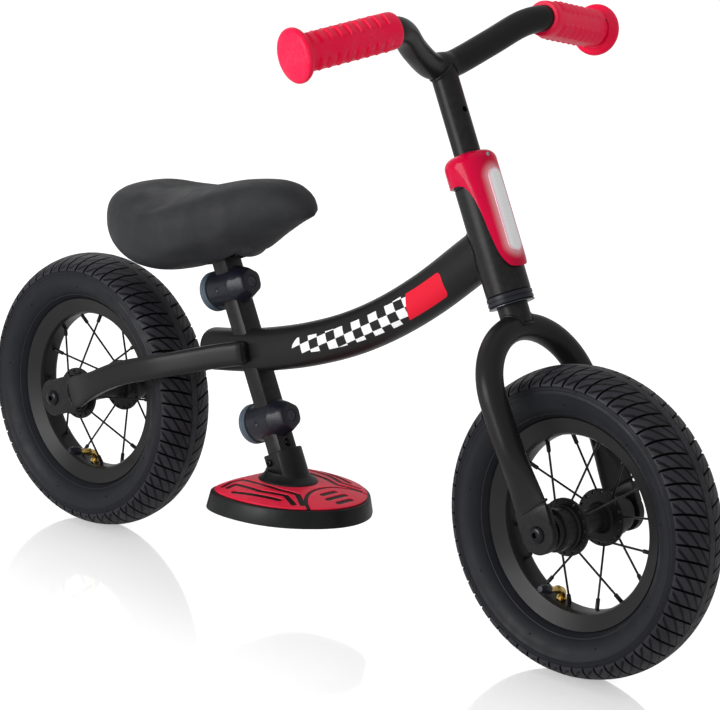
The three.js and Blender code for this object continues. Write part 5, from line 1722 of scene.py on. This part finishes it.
class BIKE_OT_footrest(BikeOperator, bpy.types.Operator):
    """Footrest: black base with its clamp socket, slotted red pads and the clamp screw"""

    bl_idname = "bike.footrest"
    bl_label = "Footrest"

    def build(self, scene):
        black = soft_rubber("base_rubber", colour("#101112"), "#26272a", 0.36, 0.48)
        dress(foot_base_mesh(), "footrest_moulded_base", "footrest", black, "base_rubber",
              "footrest_base")
        red = soft_rubber("pad_rubber", scene.bike_contact.pad_colour, "#d8425c", 0.34, 0.46)
        main = carve(pad_dome(), front_disc(ARC_GAP / 2))
        for path in SIDE_SLOTS:
            carve(main, stroke(path), stroke([(x, -y) for x, y in path]))
        front = carve(pad_dome(), front_disc(-ARC_GAP / 2), operation="INTERSECT")
        carve(front, *[stroke(path) for path in FRONT_SLOTS])
        for obj, name, node in ((main, "main_tread_pad", "footrest_pad"),
                                (front, "front_tread_pad", "footrest_front_pad")):
            dress(bevel(obj, 0.0005, 2, 50), name, "footrest", red, "red_rubber", node)
        seat = SEAT @ axis_place((-0.007, -0.0128, SOCKET_TOP - 0.0072), (0, -1, 0), (1, 0, 0))
        dress(socket_bolt(0.0032, 0.0016, 0.0016, 0.0048, seat, 0.0014), "socket_clamp_screw",
              "footrest", turned_metal("clamp_screw_black", "#2a2b2e", 0.28), "dark_steel",
              "footrest_bolt")


# ---------------------------------------------------------------------------
# Stage
# ---------------------------------------------------------------------------


def floor_finish(gloss):
    """White sweep that keeps the bike's shadow and, in front, a fading mirror of the wheels."""
    made = Finish("studio_floor")
    made.set("Base Color", (0.8, 0.8, 0.8, 1))
    made.rough(3, 2, 0.75, 0.85)
    rays = made.node("ShaderNodeLightPath").outputs
    seen, glossy, through = (Value(made, rays[f"Is {kind} Ray"])
                             for kind in ("Camera", "Glossy", "Transmission"))
    white = made.node("ShaderNodeEmission")
    made.put(seen * 0.6 + glossy * 0.1 + through * 0.6, white.inputs["Strength"])
    lit = made.node("ShaderNodeAddShader")
    made.fill(lit.inputs, made.shader.outputs[0], white.outputs[0])
    mirror = made.node("ShaderNodeBsdfGlossy")
    mirror.inputs["Roughness"].default_value = 0.06
    mirror.inputs["Color"].default_value = (2.6, 2.6, 2.6, 1)
    across = made.split("Object")[1]
    near = made.ramp(across, 0.12, 0.03) * made.ramp(across, -0.42, -0.02)
    both = made.node("ShaderNodeMixShader")
    made.fill(both.inputs, seen * (near * gloss), lit.outputs[0], mirror.outputs[0])
    made.put(both.outputs[0], made.tree.nodes["Material Output"].inputs["Surface"])
    return made.material


def area_lamp(name, place, target, size, energy):
    data = bpy.data.lights.new(name, "AREA")
    data.shape = "RECTANGLE"
    data.size, data.size_y = size
    data.energy = energy
    lamp = bpy.data.objects.new(name, data)
    bpy.context.scene.collection.objects.link(lamp)
    aim = (Vector(target) - Vector(place)).to_track_quat("-Z", "Y")
    lamp.matrix_world = Matrix.Translation(place) @ aim.to_matrix().to_4x4()


def white_room(strength):
    """World: plain white to the camera and through glass, and a soft even light on the bike."""
    world = bpy.data.worlds.new("white_room")
    bpy.context.scene.world = world
    world.use_nodes = True
    tree = world.node_tree
    background = tree.nodes["Background"]
    background.inputs["Color"].default_value = (1, 1, 1, 1)
    path = tree.nodes.new("ShaderNodeLightPath")
    seen = tree.nodes.new("ShaderNodeMath")
    seen.operation = "MAXIMUM"
    tree.links.new(path.outputs["Is Camera Ray"], seen.inputs[0])
    tree.links.new(path.outputs["Is Transmission Ray"], seen.inputs[1])
    level = tree.nodes.new("ShaderNodeMapRange")
    tree.links.new(seen.outputs[0], level.inputs["Value"])
    level.inputs["To Min"].default_value = strength
    level.inputs["To Max"].default_value = 1.0
    tree.links.new(level.outputs[0], background.inputs["Strength"])


def camera():
    """Long lens, low over the floor at the bike's front right, rolled a little."""
    data = bpy.data.cameras.new("camera")
    data.lens = 146.78
    data.sensor_width = 36
    data.clip_end = 20
    obj = bpy.data.objects.new("camera", data)
    bpy.context.scene.collection.objects.link(obj)
    yaw, pitch, roll = (math.radians(a) for a in (42.84, 12.6, 2.23))
    ahead = Vector((-math.sin(yaw) * math.cos(pitch), math.cos(yaw) * math.cos(pitch),
                    -math.sin(pitch)))
    right = Vector((math.cos(yaw), math.sin(yaw), 0))
    up = right.cross(ahead)
    right, up = (right * math.cos(roll) + up * math.sin(roll),
                 up * math.cos(roll) - right * math.sin(roll))
    obj.matrix_world = Matrix((right, up, -ahead)).transposed().to_4x4()
    obj.matrix_world.translation = Vector((1.6860, -1.7772, 0.7599))
    bpy.context.scene.camera = obj


class BIKE_OT_stage(BikeOperator, bpy.types.Operator):
    """White floor, soft lamps, white room and camera"""

    bl_idname = "bike.stage"
    bl_label = "Stage"

    def build(self, scene):
        settings = scene.bike_stage
        deselect()
        bpy.ops.mesh.primitive_plane_add(size=12, location=(0, 0, 0))
        floor = named("studio_floor")
        floor.data.materials.append(floor_finish(settings.floor_gloss))
        white_room(settings.world_strength)
        area_lamp("overhead", (0.2, 0.1, 2.2), (0, 0, 0.2), (2.0, 1.4), 1.5)
        area_lamp("right_window", (-0.5, -2.1, 0.7), (-0.1, 0, 0.25), (1.3, 1.0), 32)
        area_lamp("rear_rim", (-1.9, 0.9, 1.3), (0, 0, 0.25), (0.8, 1.2), 3)
        camera()
        scene.view_settings.view_transform = "Standard"


# ---------------------------------------------------------------------------
# Add-on
# ---------------------------------------------------------------------------

PIECES = [
    BIKE_OT_tyres, BIKE_OT_rims, BIKE_OT_hubs, BIKE_OT_valves, BIKE_OT_axles, BIKE_OT_main_beam,
    BIKE_OT_stays, BIKE_OT_head_tube, BIKE_OT_seat_tube, BIKE_OT_clamps, BIKE_OT_fork,
    BIKE_OT_head_cover, BIKE_OT_handlebar, BIKE_OT_saddle, BIKE_OT_footrest, BIKE_OT_stage,
]
SETTINGS = {
    "bike_wheels": BikeWheelSettings, "bike_frame": BikeFrameSettings,
    "bike_plastic": BikePlasticSettings, "bike_contact": BikeContactSettings,
    "bike_stage": BikeStageSettings,
}


class BIKE_PT_pieces(bpy.types.Panel):
    """Lists the bike's pieces and the sizes and colours to change"""

    bl_idname = "BIKE_PT_pieces"
    bl_label = "Balance Bike"
    bl_space_type = "VIEW_3D"
    bl_region_type = "UI"
    bl_category = "Bike"

    def draw(self, context):
        layout = self.layout
        for piece in PIECES:
            layout.operator(piece.bl_idname, text=piece.bl_label)
        for name, group in SETTINGS.items():
            box = layout.box()
            for prop in group.__annotations__:
                box.prop(getattr(context.scene, name), prop)


def register():
    for kind in (*SETTINGS.values(), *PIECES, BIKE_PT_pieces):
        bpy.utils.register_class(kind)
    for name, group in SETTINGS.items():
        setattr(bpy.types.Scene, name, PointerProperty(type=group))


def unregister():
    for name in SETTINGS:
        delattr(bpy.types.Scene, name)
    for kind in reversed((*SETTINGS.values(), *PIECES, BIKE_PT_pieces)):
        bpy.utils.unregister_class(kind)


def main():
    register()
    for piece in PIECES:
        group, name = piece.bl_idname.split(".")
        getattr(getattr(bpy.ops, group), name)()
    hidden = soft_rubber("tube_rubber", colour("#17181a"), "#242527", 0.5, 0.6)
    for tube in ("front_inner_tube", "rear_inner_tube"):
        paint_node(tube, hidden)
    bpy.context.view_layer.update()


if __name__ == "__main__":
    main()
